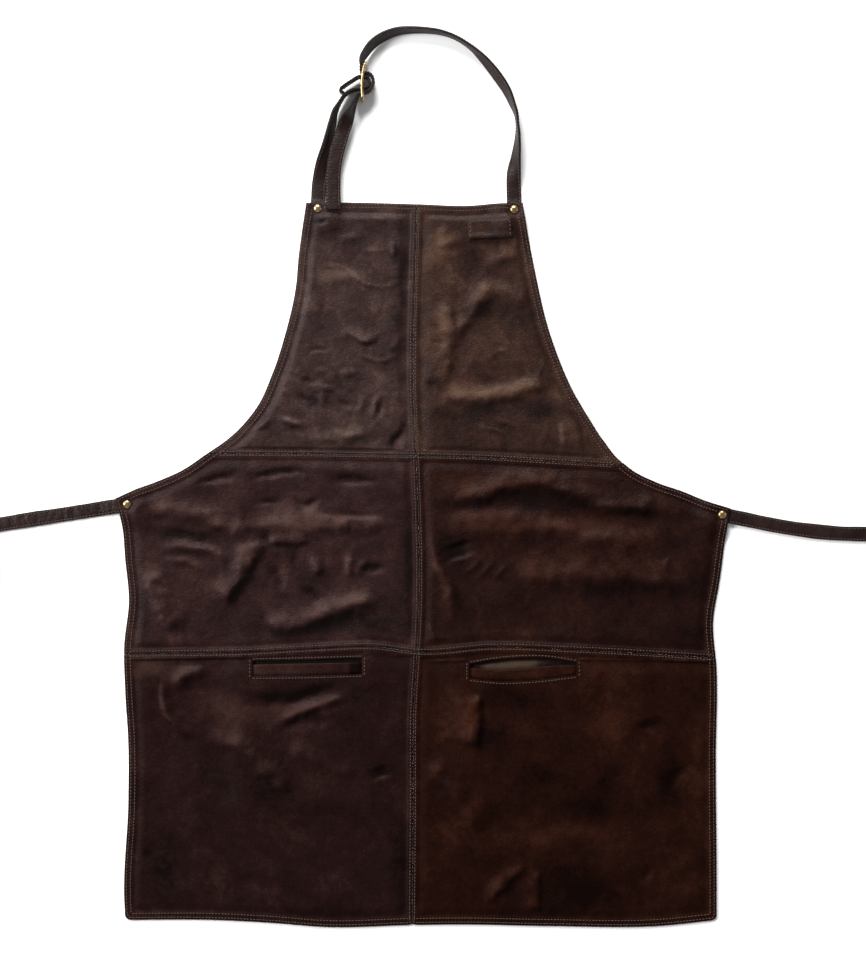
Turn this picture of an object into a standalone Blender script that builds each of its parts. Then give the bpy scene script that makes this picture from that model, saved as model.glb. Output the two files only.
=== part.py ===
"""Leather welding apron, laid out flat on its back.

Frame: metres, +Z out of the apron's front face, +Y towards the neck, +X to the right as the
front is seen. The origin is in the surface that the apron lies on, at the middle of its box
without the waist ties.
"""
import math

import bmesh
import bpy
import numpy as np
from mathutils import Matrix, Vector

# ---------------------------------------------------------------- driving dimensions (metres)
GAP = 0.0003                 # clearance between neighbouring solids
LEATHER = 0.0014             # panel leather
LINING = 0.0008              # pocket bag and facing
WELT = 0.0012                # folded pocket welt
STRAP_WIDTH = 0.0150
STRAP_THICK = 0.0026         # two plies, stitched
RIVET_CAP_R = 0.0045
RIVET_CAP_HIGH = 0.0021
RIVET_POST_R = 0.0015
RIVET_DISC_HIGH = 0.0010
PANEL_CELL = 0.022           # largest grid cell of a panel
RAMP = 0.024                 # width over which a panel comes down beside something under it
STRAP_FLAT = 0.010           # level margin of a panel round a strap end under it
POCKET_FLAT = 0.001          # level margin of a panel round a pocket bag

# heights of the panels' underside above the surface
ANCHOR_LIFT = RIVET_DISC_HIGH + 2 * GAP + STRAP_THICK
POCKET_ROOM = 0.0046         # free height inside a pocket bag
WELT_LIFT = LINING + POCKET_ROOM
POCKET_LIFT = WELT_LIFT + WELT + GAP

# the neck strap bends along this line as the neck loop is lifted
NECK_BEND_Y = 0.2890

# ---------------------------------------------------------------- outline of the apron
# (x, y) points; each line is smooth between its ends
ARMHOLE_LEFT = [(-0.3198, -0.0209), (-0.2992, -0.0115), (-0.2746, -0.0023), (-0.2480, 0.0100),
                (-0.2272, 0.0242), (-0.2046, 0.0398), (-0.1752, 0.0710), (-0.1576, 0.1074),
                (-0.1440, 0.1490), (-0.1326, 0.2000), (-0.1299, 0.2302), (-0.1218, 0.2859)]
ARMHOLE_RIGHT = [(0.3188, -0.0313), (0.2938, -0.0236), (0.2682, -0.0132), (0.2408, -0.0036),
                 (0.2106, 0.0133), (0.1866, 0.0398), (0.1732, 0.0606), (0.1576, 0.0866),
                 (0.1420, 0.1210), (0.1316, 0.1501), (0.1154, 0.2177), (0.1030, 0.2859)]
SIDE_LEFT = [(-0.3100, -0.4590), (-0.3112, -0.4334), (-0.3069, -0.3377), (-0.3069, -0.2742),
             (-0.3101, -0.2212), (-0.3112, -0.1744), (-0.3063, -0.1266), (-0.3100, -0.0850),
             (-0.3137, -0.0461), (-0.3198, -0.0209)]
SIDE_RIGHT = [(0.3046, -0.4590), (0.3046, -0.4090), (0.3038, -0.2900), (0.3046, -0.1980),
              (0.3011, -0.1474), (0.3078, -0.1058), (0.3144, -0.0574), (0.3188, -0.0313)]
BIB_TOP = [(-0.1218, 0.2859), (-0.0840, 0.2866), (-0.0068, 0.2849), (0.0494, 0.2834),
           (0.0733, 0.2853), (0.1030, 0.2859)]
HEM = [(-0.3100, -0.4590), (-0.2200, -0.4590), (-0.1565, -0.4622), (-0.1035, -0.4663),
       (-0.0120, -0.4643), (0.0411, -0.4637), (0.1284, -0.4653), (0.2491, -0.4649),
       (0.3046, -0.4590)]
CENTRE_SEAM = [(-0.0120, -0.4663), (-0.0109, -0.3377), (-0.0103, -0.2378), (-0.0068, -0.1800),
               (-0.0048, -0.1349), (-0.0078, 0.0242), (-0.0103, 0.0814), (-0.0068, 0.2866)]
UPPER_SEAM = [(-0.2230, 0.0272), (-0.1960, 0.0274), (-0.0140, 0.0253), (0.0494, 0.0239),
              (0.1451, 0.0186), (0.2064, 0.0150)]
LOWER_SEAM = [(-0.3112, -0.1812), (-0.1825, -0.1791), (-0.1097, -0.1752), (-0.0484, -0.1735),
              (-0.0068, -0.1790), (0.0712, -0.1738), (0.1555, -0.1765), (0.3046, -0.1850)]

# ---------------------------------------------------------------- rivets, straps and ties
RIVETS = {"neck_left": (-0.1097, 0.2800), "neck_right": (0.0942, 0.2790),
          "waist_left": (-0.3078, -0.0270), "waist_right": (0.3103, -0.0378)}

SLIDE_AT = Vector((-0.0617, 0.4103, 0.0113))
SLIDE_LEAN = math.radians(-3.8)          # the slide's long side leans this far from +Y
SLIDE_LONG = 0.0390
SLIDE_THICK = 0.0034
SLIDE_HIGH = 0.0222                      # along Z, rail to rail
SLIDE_RAIL = 0.0028
SLIDE_WINDOWS = [(0.0020, 0.0112), (-0.0132, -0.0020)]

# strap routes: x, y, clearance below the strap's lowest edge, tilt in degrees (0 is flat with the
# front up, 90 is on edge with the front to the left of the direction of travel)
LONG_STRAP = [(0.0941, NECK_BEND_Y + 0.0006, 0.0003, 0), (0.0937, 0.3050, 0.0003, 2),
              (0.0939, 0.3170, 0.0004, 22), (0.0955, 0.3310, 0.0004, 52), (0.0970, 0.3439, 0.0003, 66),
              (0.0978, 0.3560, 0.0003, 78), (0.0974, 0.3689, 0.0003, 87), (0.0960, 0.3789, 0.0003, 84),
              (0.0929, 0.3872, 0.0003, 76), (0.0866, 0.4018, 0.0003, 65), (0.0763, 0.4174, 0.0003, 60),
              (0.0632, 0.4335, 0.0003, 68), (0.0484, 0.4475, 0.0003, 84), (0.0303, 0.4584, 0.0003, 87),
              (0.0151, 0.4631, 0.0003, 84), (0.0005, 0.4647, 0.0003, 80), (-0.0130, 0.4650, 0.0003, 76),
              (-0.0265, 0.4637, 0.0004, 70), (-0.0390, 0.4593, 0.0006, 63), (-0.0510, 0.4517, 0.0014, 62),
              (-0.0593, 0.4418, 0.0026, 67), (-0.0640, 0.4330, 0.0034, 78)]
# in the slide's own plane: across it, then along it
LONG_STRAP_IN_SLIDE = [(-0.0040, 0.0170), (-0.0038, 0.0128), (-0.0033, 0.0103), (-0.0016, 0.0092),
                       (0.0020, 0.0090), (0.0060, 0.0080), (0.0088, 0.0050), (0.0098, 0.0010),
                       (0.0092, -0.0035), (0.0070, -0.0078), (0.0036, -0.0102), (-0.0005, -0.0110),
                       (-0.0042, -0.0128)]
TAIL_UPPER = [(-0.0700, 0.3924, 0.0038, 84), (-0.0744, 0.3820, 0.0040, 66), (-0.0790, 0.3716, 0.0054, 34),
              (-0.0832, 0.3607, 0.0068, 4)]
TAIL_FREE = [(-0.0835, 0.3599, 0.0069, 3), (-0.0866, 0.3500, 0.0070, 0), (-0.0902, 0.3370, 0.0066, 0),
             (-0.0928, 0.3230, 0.0063, 0), (-0.0936, 0.3050, 0.0061, 0), (-0.0931, 0.2793, 0.0061, 0)]
SHORT_STRAP = [(-0.1094, NECK_BEND_Y + 0.0006, 0.0003, 0), (-0.1085, 0.3050, 0.0003, 0),
               (-0.1068, 0.3160, 0.0004, -10), (-0.1042, 0.3290, 0.0005, -30), (-0.1006, 0.3430, 0.0005, -50),
               (-0.0975, 0.3560, 0.0008, -60), (-0.0943, 0.3690, 0.0016, -66), (-0.0916, 0.3800, 0.0026, -76),
               (-0.0870, 0.3885, 0.0034, -86)]
SHORT_STRAP_IN_SLIDE = [(-0.0184, -0.0144), (-0.0120, -0.0098), (-0.0060, -0.0078), (0.0000, -0.0074),
                        (0.0036, -0.0058), (0.0056, -0.0024), (0.0056, 0.0014), (0.0036, 0.0044),
                        (0.0000, 0.0056), (-0.0060, 0.0044), (-0.0130, -0.0004), (-0.0200, -0.0058),
                        (-0.0226, -0.0078)]
TIE_LEFT = [(-0.3000, -0.0258, 0.0013, 0), (-0.3078, -0.0270, 0.0013, 0), (-0.3180, -0.0287, 0.0012, 0),
            (-0.3300, -0.0306, 0.0002, 0), (-0.3600, -0.0354, 0.0002, 0), (-0.4000, -0.0415, 0.0002, 0),
            (-0.4404, -0.0479, 0.0003, 0), (-0.4540, -0.0500, 0.0003, 0), (-0.4600, -0.0509, 0.0004, -20),
            (-0.4720, -0.0526, 0.0006, -55), (-0.4840, -0.0540, 0.0014, -86), (-0.4940, -0.0549, 0.0018, -90)]
TIE_RIGHT = [(0.3025, -0.0364, 0.0013, 0), (0.3103, -0.0378, 0.0013, 0), (0.3204, -0.0398, 0.0012, 0),
             (0.3330, -0.0424, 0.0002, 0), (0.3600, -0.0480, 0.0002, 0), (0.3900, -0.0530, 0.0002, 0),
             (0.4300, -0.0571, 0.0002, 0), (0.4602, -0.0579, 0.0003, 0), (0.4720, -0.0579, 0.0004, 20),
             (0.4840, -0.0579, 0.0006, 55), (0.4960, -0.0578, 0.0014, 86), (0.5060, -0.0576, 0.0018, 90)]
ROLL_R = 0.0420              # centreline of the roll's outer turn
ROLL_CORE_R = 0.0170         # hole in the middle of the roll
ROLL_Z = 0.0093
BAND_THICK = 0.0012
BAND_WIDE = 0.0080

POCKETS = {
    "left": {"x": (-0.1773, -0.0629), "mouth": (-0.1883, -0.1932), "window_low": -0.2058},
    "right": {"x": (0.0485, 0.1590), "mouth": (-0.1868, -0.1975), "window_low": -0.2085},
}
BAG_BEYOND = 0.0070          # bag past the window on each side
BAG_TOP = -0.1840
BAG_BOTTOM = -0.3350
BAG_WALL = 0.0014
FACING_LOW = -0.2120
PATCH_AT = (0.0692, 0.2591)
PATCH_SIZE = (0.0458, 0.0203)
PATCH_TURN = math.radians(2.0)
PATCH_THICK = 0.0016

LEATHER_UPPER = (0.052, 0.036, 0.030, 1.0)
LEATHER_LOWER = (0.034, 0.021, 0.016, 1.0)
LINING_BROWN = (0.120, 0.070, 0.045, 1.0)
BRASS = (0.520, 0.400, 0.220, 1.0)


# ---------------------------------------------------------------- scene, collections, materials
def clear_scene():
    for old in list(bpy.data.objects):
        bpy.data.objects.remove(old, do_unlink=True)


def new_collection(name):
    group = bpy.data.collections.new(name)
    bpy.context.scene.collection.children.link(group)
    return group


def finish_of(name, color, roughness, metallic=0.0):
    material = bpy.data.materials.new(name)
    material.use_nodes = True
    shader = material.node_tree.nodes["Principled BSDF"]
    shader.inputs["Base Color"].default_value = color
    shader.inputs["Roughness"].default_value = roughness
    shader.inputs["Metallic"].default_value = metallic
    return material


def leather_finish(name, color):
    return finish_of(name + "_leather", color, 0.55)


def brass_finish(name):
    return finish_of(name + "_brass", BRASS, 0.35, 1.0)


# ---------------------------------------------------------------- curves through hand-set points
def hermite(knots, values, at):
    """Smooth value at `at` through (knots, values); knots rise."""
    slopes = np.gradient(values, knots, axis=0)
    i = int(np.clip(np.searchsorted(knots, at) - 1, 0, len(knots) - 2))
    step = knots[i + 1] - knots[i]
    k = (at - knots[i]) / step
    start = values[i] * (1 + 2 * k) * (1 - k) ** 2 + slopes[i] * step * k * (1 - k) ** 2
    end = values[i + 1] * k * k * (3 - 2 * k) + slopes[i + 1] * step * k * k * (k - 1)
    return start + end


def line_by_x(points):
    ordered = sorted(points)
    knots = np.array([p[0] for p in ordered])
    values = np.array([p[1] for p in ordered])
    return lambda x: float(hermite(knots, values, x))


def line_by_y(points):
    return line_by_x([(p[1], p[0]) for p in points])


centre_x = line_by_y(CENTRE_SEAM)
upper_seam_y = line_by_x(UPPER_SEAM)
lower_seam_y = line_by_x(LOWER_SEAM)
bib_top_y = line_by_x(BIB_TOP)
hem_y = line_by_x(HEM)
armhole_x = {"left": line_by_y(ARMHOLE_LEFT), "right": line_by_y(ARMHOLE_RIGHT)}
armhole_y = {"left": line_by_x(ARMHOLE_LEFT), "right": line_by_x(ARMHOLE_RIGHT)}
side_x = {"left": line_by_y(SIDE_LEFT), "right": line_by_y(SIDE_RIGHT)}
seam_end_x = {"left": UPPER_SEAM[0][0], "right": UPPER_SEAM[-1][0]}


def waist_top_y(side, x):
    """Top edge of a waist panel: the armhole, then the upper seam."""
    outside = abs(x) > abs(seam_end_x[side])
    return armhole_y[side](x) if outside else upper_seam_y(x)


# ---------------------------------------------------------------- height of the panels
def smooth_down(distance, flat, ramp):
    """1 within `flat`, 0 beyond flat + ramp, smooth between."""
    k = min(max((distance - flat) / ramp, 0.0), 1.0)
    return 1.0 - k * k * (3.0 - 2.0 * k)


def distance_to_box(x, y, low, high):
    dx = max(low[0] - x, 0.0, x - high[0])
    dy = max(low[1] - y, 0.0, y - high[1])
    return math.hypot(dx, dy)


def bag_box(side):
    x0, x1 = POCKETS[side]["x"]
    return (x0 - BAG_BEYOND, BAG_BOTTOM), (x1 + BAG_BEYOND, BAG_TOP)


def strap_under_box(place):
    """Ground plan of the strap end under each riveted corner."""
    x, y = RIVETS[place]
    half = STRAP_WIDTH / 2
    if place.startswith("neck"):
        return (x - half, y - 0.0125), (x + half, y + 0.006)
    return (x - 0.009, y - half), (x + 0.009, y + half)


def underside(x, y):
    """Height of the panels' underside above the surface."""
    height = 0.0
    for side in POCKETS:
        low, high = bag_box(side)
        near = smooth_down(distance_to_box(x, y, low, high), POCKET_FLAT, RAMP)
        height = max(height, POCKET_LIFT * near)
    for place in RIVETS:
        low, high = strap_under_box(place)
        near = smooth_down(distance_to_box(x, y, low, high), STRAP_FLAT, RAMP)
        height = max(height, ANCHOR_LIFT * near)
    return height


# ---------------------------------------------------------------- building blocks
def add_object(name, mesh, material, group):
    obj = bpy.data.objects.new(name, mesh)
    mesh.materials.append(material)
    group.objects.link(obj)
    return obj


def slab(name, us, vs, under, rise, material, group):
    """Closed solid over a grid: its underside is under(u, v), its top is that plus rise(u, v)."""
    bm = bmesh.new()
    nu = len(us) - 1
    nv = len(vs) - 1
    bmesh.ops.create_grid(bm, x_segments=nu, y_segments=nv, size=0.5)
    raised = bmesh.ops.extrude_face_region(bm, geom=bm.faces[:])["geom"]
    top = {item for item in raised if isinstance(item, bmesh.types.BMVert)}
    for vert in bm.verts:
        u = us[round((vert.co.x + 0.5) * nu)]
        v = vs[round((vert.co.y + 0.5) * nv)]
        lift = rise(u, v) if vert in top else Vector()
        vert.co = under(u, v) + lift
    bmesh.ops.recalc_face_normals(bm, faces=bm.faces)
    mesh = bpy.data.meshes.new(name)
    bm.to_mesh(mesh)
    bm.free()
    return add_object(name, mesh, material, group)


def box(name, low, high, material, group):
    bm = bmesh.new()
    bmesh.ops.create_cube(bm, size=1.0)
    low = Vector(low)
    high = Vector(high)
    for vert in bm.verts:
        vert.co = Vector(low[i] + (vert.co[i] + 0.5) * (high[i] - low[i]) for i in range(3))
    mesh = bpy.data.meshes.new(name)
    bm.to_mesh(mesh)
    bm.free()
    return add_object(name, mesh, material, group)


def cylinder(name, radius, low, high, centre, material, group, segments=24):
    bm = bmesh.new()
    bmesh.ops.create_cone(bm, cap_ends=True, segments=segments, radius1=radius, radius2=radius,
                          depth=high - low)
    bmesh.ops.translate(bm, verts=bm.verts, vec=(centre[0], centre[1], (low + high) / 2))
    mesh = bpy.data.meshes.new(name)
    bm.to_mesh(mesh)
    bm.free()
    return add_object(name, mesh, material, group)


def turned(name, profile, centre, material, group, steps=16):
    """Solid turned about Z from an (r, z) profile that runs top to bottom."""
    mesh = bpy.data.meshes.new(name)
    bm = bmesh.new()
    verts = [bm.verts.new((r, 0.0, z)) for r, z in profile]
    for first, second in zip(verts, verts[1:]):
        bm.edges.new((first, second))
    bm.to_mesh(mesh)
    bm.free()
    obj = add_object(name, mesh, material, group)
    obj.location = (centre[0], centre[1], 0.0)
    screw = obj.modifiers.new("turn", "SCREW")
    screw.steps = steps
    screw.render_steps = steps
    screw.use_merge_vertices = True
    screw.merge_threshold = 0.00001
    screw.use_smooth_shade = True
    return obj


def cut(obj, cutter):
    cutter.hide_render = True
    cutter.display_type = "WIRE"
    boolean = obj.modifiers.new("cut", "BOOLEAN")
    boolean.operation = "DIFFERENCE"
    boolean.solver = "EXACT"
    boolean.object = cutter


def spaced(stops, cell):
    """Values from the first stop to the last, through each stop, no more than a cell apart."""
    values = [stops[0]]
    for low, high in zip(stops, stops[1:]):
        count = max(1, math.ceil((high - low) / cell - 1e-6))
        values += [low + (high - low) * (i + 1) / count for i in range(count)]
    return values


# ---------------------------------------------------------------- panels
def panel(name, xs_of, ys_of, us, vs, material, group):
    """One panel of the front: xs_of(y) gives its outer and inner x, ys_of(x) its low and high y."""
    y_low, y_high = vs[0], vs[-1]

    def under(u, v):
        outer, inner = xs_of(v)
        x = outer + (inner - outer) * u
        low, high = ys_of(x)
        y = low + (high - low) * (v - y_low) / (y_high - y_low)
        return Vector((x, y, underside(x, y)))

    return slab(name, us, vs, under, lambda u, v: Vector((0, 0, LEATHER)), material, group)


def fractions(stops, outer, inner, cell):
    """Grid lines across a panel as fractions of the way from its outer to its inner edge."""
    ordered = sorted(abs(x - outer) for x in [outer, inner] + list(stops))
    wide = abs(inner - outer)
    return [x / wide for x in spaced(ordered, cell)]


def build_bib(side, group):
    seam_gap = GAP / 2 if side == "right" else -GAP / 2
    rows = spaced([0.0250, 0.2330, 0.2600, 0.2720, 0.2859], PANEL_CELL)
    rivet_x = RIVETS["neck_" + side][0]
    cols = fractions([rivet_x - 0.0075, rivet_x + 0.0075], armhole_x[side](0.2859), centre_x(0.2859),
                     PANEL_CELL)

    def xs_of(y):
        return armhole_x[side](max(y, 0.0272 if side == "left" else 0.0150)), centre_x(y) + seam_gap

    def ys_of(x):
        return upper_seam_y(x) + GAP / 2, bib_top_y(x)

    name = "bib_panel_" + side
    return panel(name, xs_of, ys_of, cols, rows, leather_finish(name, LEATHER_UPPER), group)


def build_waist(side, group):
    seam_gap = GAP / 2 if side == "right" else -GAP / 2
    low, high = strap_under_box("waist_" + side)
    level_y = low[1] - STRAP_FLAT
    level_x = high[0] + STRAP_FLAT if side == "left" else low[0] - STRAP_FLAT
    ramp_x = level_x + RAMP if side == "left" else level_x - RAMP
    rows = spaced([-0.1790, -0.1500, level_y - RAMP, level_y, -0.0209], PANEL_CELL)
    outer = side_x[side](-0.1)
    pocket_x = POCKETS[side]["x"]
    cols = fractions([pocket_x[0] - 0.03, pocket_x[1] + 0.03, seam_end_x[side], level_x, ramp_x], outer,
                     centre_x(-0.1), PANEL_CELL)

    def xs_of(y):
        return side_x[side](y), centre_x(y) + seam_gap

    def ys_of(x):
        return lower_seam_y(x) + GAP / 2, waist_top_y(side, x) - (
            GAP / 2 if abs(x) < abs(seam_end_x[side]) else 0.0)

    name = "waist_panel_" + side
    return panel(name, xs_of, ys_of, cols, rows, leather_finish(name, LEATHER_UPPER), group)


def build_skirt(side, group):
    seam_gap = GAP / 2 if side == "right" else -GAP / 2
    (bag_x0, bag_y0), (bag_x1, bag_y1) = bag_box(side)
    rows = spaced([-0.4625, bag_y0 - RAMP, bag_y0 - POCKET_FLAT, bag_y1 + POCKET_FLAT, -0.1765], PANEL_CELL)
    outer = side_x[side](-0.3)
    cols = fractions([bag_x0 - RAMP, bag_x0 - POCKET_FLAT, bag_x1 + POCKET_FLAT, bag_x1 + RAMP], outer,
                     centre_x(-0.3), PANEL_CELL)

    def xs_of(y):
        return side_x[side](max(y, -0.4590)), centre_x(y) + seam_gap

    def ys_of(x):
        return hem_y(x), lower_seam_y(x) - GAP / 2

    name = "skirt_panel_" + side
    return panel(name, xs_of, ys_of, cols, rows, leather_finish(name, LEATHER_LOWER), group)


# ---------------------------------------------------------------- pockets
def build_pocket(side, skirt, group, cutters):
    pocket = POCKETS[side]
    x0, x1 = pocket["x"]
    mouth_high, mouth_low = pocket["mouth"]
    window_low = pocket["window_low"]
    cutter = box("window_cutter_" + side, (x0, window_low, 0.0), (x1, mouth_high, 0.03),
                 leather_finish("window_cutter_" + side, LEATHER_LOWER), cutters)
    cut(skirt, cutter)

    name = "pocket_welt_" + side
    box(name, (x0 - 0.006, window_low - 0.006, WELT_LIFT), (x1 + 0.006, mouth_low, WELT_LIFT + WELT),
        leather_finish(name, LEATHER_LOWER), group)

    (bag_x0, bag_y0), (bag_x1, bag_y1) = bag_box(side)
    name = "pocket_facing_" + side
    box(name, (bag_x0, FACING_LOW + GAP, 0.0), (bag_x1, bag_y1, LINING),
        finish_of(name + "_lining", LINING_BROWN, 0.8), group)

    name = "pocket_bag_" + side
    bag = box(name, (bag_x0, bag_y0, 0.0), (bag_x1, FACING_LOW, WELT_LIFT - GAP),
              finish_of(name + "_lining", LINING_BROWN, 0.8), group)
    hollow = box("bag_cutter_" + side, (bag_x0 + BAG_WALL, bag_y0 + BAG_WALL, LINING),
                 (bag_x1 - BAG_WALL, FACING_LOW + 0.01, 0.03),
                 finish_of("bag_cutter_" + side, LINING_BROWN, 0.8), cutters)
    cut(bag, hollow)


# ---------------------------------------------------------------- patch
def build_patch(group):
    """Stitched leather patch on the right half of the bib."""
    wide, high = PATCH_SIZE
    turn = Matrix.Rotation(PATCH_TURN, 2)

    def under(u, v):
        x, y = turn @ Vector(((u - 0.5) * wide, (v - 0.5) * high))
        x += PATCH_AT[0]
        y += PATCH_AT[1]
        return Vector((x, y, underside(x, y) + LEATHER + 4 * GAP))

    us = spaced([0.0, 1.0], 0.125)
    vs = spaced([0.0, 1.0], 0.34)
    slab("label_patch", us, vs, under, lambda u, v: Vector((0, 0, PATCH_THICK)),
         leather_finish("label_patch", LEATHER_UPPER), group)


# ---------------------------------------------------------------- rivets
def build_rivet(place, group, cutters, holed):
    x, y = RIVETS[place]
    top = ANCHOR_LIFT + LEATHER
    r = RIVET_CAP_R
    high = RIVET_CAP_HIGH
    seat = top + GAP
    turned("rivet_cap_" + place,
           [(0, seat + high), (0.45 * r, seat + 0.93 * high), (0.80 * r, seat + 0.62 * high),
            (r, seat + 0.18 * high), (0.95 * r, seat), (0, seat)],
           (x, y), brass_finish("rivet_cap_" + place), group)
    turned("rivet_post_" + place,
           [(0, top), (RIVET_POST_R, top), (RIVET_POST_R, RIVET_DISC_HIGH), (r, RIVET_DISC_HIGH),
            (r, 0), (0, 0)],
           (x, y), brass_finish("rivet_post_" + place), group, steps=12)
    for obj in holed:
        cutter = cylinder("post_hole_" + place + "_" + obj.name, RIVET_POST_R + GAP, -0.001, 0.02, (x, y),
                          brass_finish("post_hole_" + place), cutters, segments=12)
        cut(obj, cutter)


# ---------------------------------------------------------------- straps
def half_height(tilt):
    """From a strap's lowest edge to its centreline."""
    turn = math.radians(tilt)
    return STRAP_WIDTH / 2 * abs(math.sin(turn)) + STRAP_THICK / 2 * math.cos(turn)


def strap_stations(points, per_span):
    """Smooth stations (x, y, z, tilt) along a route, at even steps between its points."""
    rows = np.array(points, dtype=float)
    far = np.linalg.norm(np.diff(rows[:, :2], axis=0), axis=1)
    knots = np.concatenate([[0.0], np.cumsum(far)])
    stations = []
    for i in range(len(rows) - 1):
        for k in range(per_span):
            stations.append(hermite(knots, rows, knots[i] + far[i] * k / per_span))
    stations.append(rows[-1])
    return [(x, y, max(clear, 0.0002) + half_height(tilt), tilt) for x, y, clear, tilt in stations]


def strap(name, points, material, group, per_span=2):
    """Flat strap with the tilt that each of its points gives."""
    rows = strap_stations(points, per_span)
    places = [Vector(row[:3]) for row in rows]
    last = len(rows) - 1

    def section(u):
        i = int(u)
        along = (places[min(i + 1, last)] - places[max(i - 1, 0)]).normalized()
        left = Vector((0, 0, 1)).cross(along).normalized()
        over = along.cross(left)
        tilt = math.radians(rows[i][3])
        normal = over * math.cos(tilt) + left * math.sin(tilt)
        return places[i], normal, normal.cross(along)

    def under(u, v):
        centre, normal, across = section(u)
        return centre + across * (v * STRAP_WIDTH) - normal * (STRAP_THICK / 2)

    def rise(u, v):
        return section(u)[1] * STRAP_THICK

    return slab(name, list(range(last + 1)), [-0.5, 0.0, 0.5], under, rise, material, group)


def in_slide(across, along, tilt):
    """Strap point given in the slide's own plane."""
    turn = Matrix.Rotation(SLIDE_LEAN, 2)
    x, y = turn @ Vector((across, along))
    return (SLIDE_AT.x + x, SLIDE_AT.y + y, SLIDE_AT.z - STRAP_WIDTH / 2, tilt)


def build_neck_straps(group):
    route = LONG_STRAP + [in_slide(q, p, 90) for q, p in LONG_STRAP_IN_SLIDE]
    strap("neck_strap_long", route + TAIL_UPPER, leather_finish("neck_strap_long", LEATHER_LOWER), group)
    strap("neck_strap_tail", TAIL_FREE, leather_finish("neck_strap_tail", LEATHER_LOWER), group)

    route = SHORT_STRAP + [in_slide(q, p, -90) for q, p in SHORT_STRAP_IN_SLIDE]
    strap("neck_strap_short", route, leather_finish("neck_strap_short", LEATHER_LOWER), group)

    anchors = []
    for side in ("left", "right"):
        x, y = RIVETS["neck_" + side]
        name = "neck_strap_anchor_" + side
        low = RIVET_DISC_HIGH + GAP
        base = LONG_STRAP[0] if side == "right" else SHORT_STRAP[0]
        points = [(x, y - 0.0125, low, 0), (x, y, low, 0), (x, y + 0.0052, low, 0),
                  (base[0], NECK_BEND_Y - 0.0006, base[2], 0)]
        anchors.append(strap(name, points, leather_finish(name, LEATHER_LOWER), group))
    return anchors


def build_slide(group, cutters):
    material = brass_finish("strap_slide")
    half = Vector((SLIDE_THICK / 2, SLIDE_LONG / 2, SLIDE_HIGH / 2))
    slide = box("strap_slide", -half, half, material, group)
    slide.location = SLIDE_AT
    slide.rotation_euler.z = SLIDE_LEAN
    opening = SLIDE_HIGH / 2 - SLIDE_RAIL
    for number, (low, high) in enumerate(SLIDE_WINDOWS):
        window = box("slide_window_%d" % number, (-0.01, low, -opening), (0.01, high, opening),
                     material, cutters)
        window.location = SLIDE_AT
        window.rotation_euler.z = SLIDE_LEAN
        cut(slide, window)


# ---------------------------------------------------------------- waist ties
def build_tie(side, group, cutters):
    points = TIE_LEFT if side == "left" else TIE_RIGHT
    end = Vector(points[-1][:3])
    along = (end - Vector(points[-2][:3])).normalized()
    toward_roll = Vector((along.y, -along.x, 0)) if side == "right" else Vector((-along.y, along.x, 0))
    centre = end + toward_roll * ROLL_R
    tie = strap("waist_tie_" + side, points, leather_finish("waist_tie_" + side, LEATHER_LOWER), group)

    name = "waist_tie_roll_" + side
    outer = ROLL_R - STRAP_THICK / 2 - 2 * GAP
    low = ROLL_Z - STRAP_WIDTH / 2
    high = ROLL_Z + STRAP_WIDTH / 2
    roll = cylinder(name, outer, low, high, centre, leather_finish(name, LEATHER_LOWER), group, 40)
    core = cylinder("roll_core_" + side, ROLL_CORE_R, low - 0.01, high + 0.01, centre,
                    leather_finish("roll_core_" + side, LEATHER_LOWER), cutters, 24)
    cut(roll, core)

    name = "tie_band_" + side
    away = -toward_roll
    mid = centre - away * (outer + ROLL_CORE_R) / 2
    half = Vector((BAND_WIDE / 2, (outer - ROLL_CORE_R) / 2 + 0.0012, STRAP_WIDTH / 2 + GAP))
    wall = Vector((0.0, BAND_THICK, BAND_THICK))
    band = box(name, -half - wall, half + wall, leather_finish(name, LEATHER_LOWER), group)
    hole = box("band_hole_" + side, -half - Vector((0.01, 0, 0)), half + Vector((0.01, 0, 0)),
               leather_finish("band_hole_" + side, LEATHER_LOWER), cutters)
    for piece in (band, hole):
        piece.location = (mid.x, mid.y, ROLL_Z)
        piece.rotation_euler.z = math.atan(along.y / along.x)
    cut(band, hole)
    return tie


# ---------------------------------------------------------------- the whole apron
def main():
    clear_scene()
    group = new_collection("welding_apron")
    cutters = new_collection("cutters")
    bibs = {}
    waists = {}
    for side in ("left", "right"):
        bibs[side] = build_bib(side, group)
        waists[side] = build_waist(side, group)
        build_pocket(side, build_skirt(side, group), group, cutters)
    build_patch(group)
    anchors = build_neck_straps(group)
    build_slide(group, cutters)
    ties = {side: build_tie(side, group, cutters) for side in ("left", "right")}
    for number, side in enumerate(("left", "right")):
        build_rivet("neck_" + side, group, cutters, [bibs[side], anchors[number]])
        build_rivet("waist_" + side, group, cutters, [waists[side], ties[side]])


main()
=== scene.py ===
import math

import bmesh
import bpy
import numpy as np
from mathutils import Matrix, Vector
from mathutils.kdtree import KDTree


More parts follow.
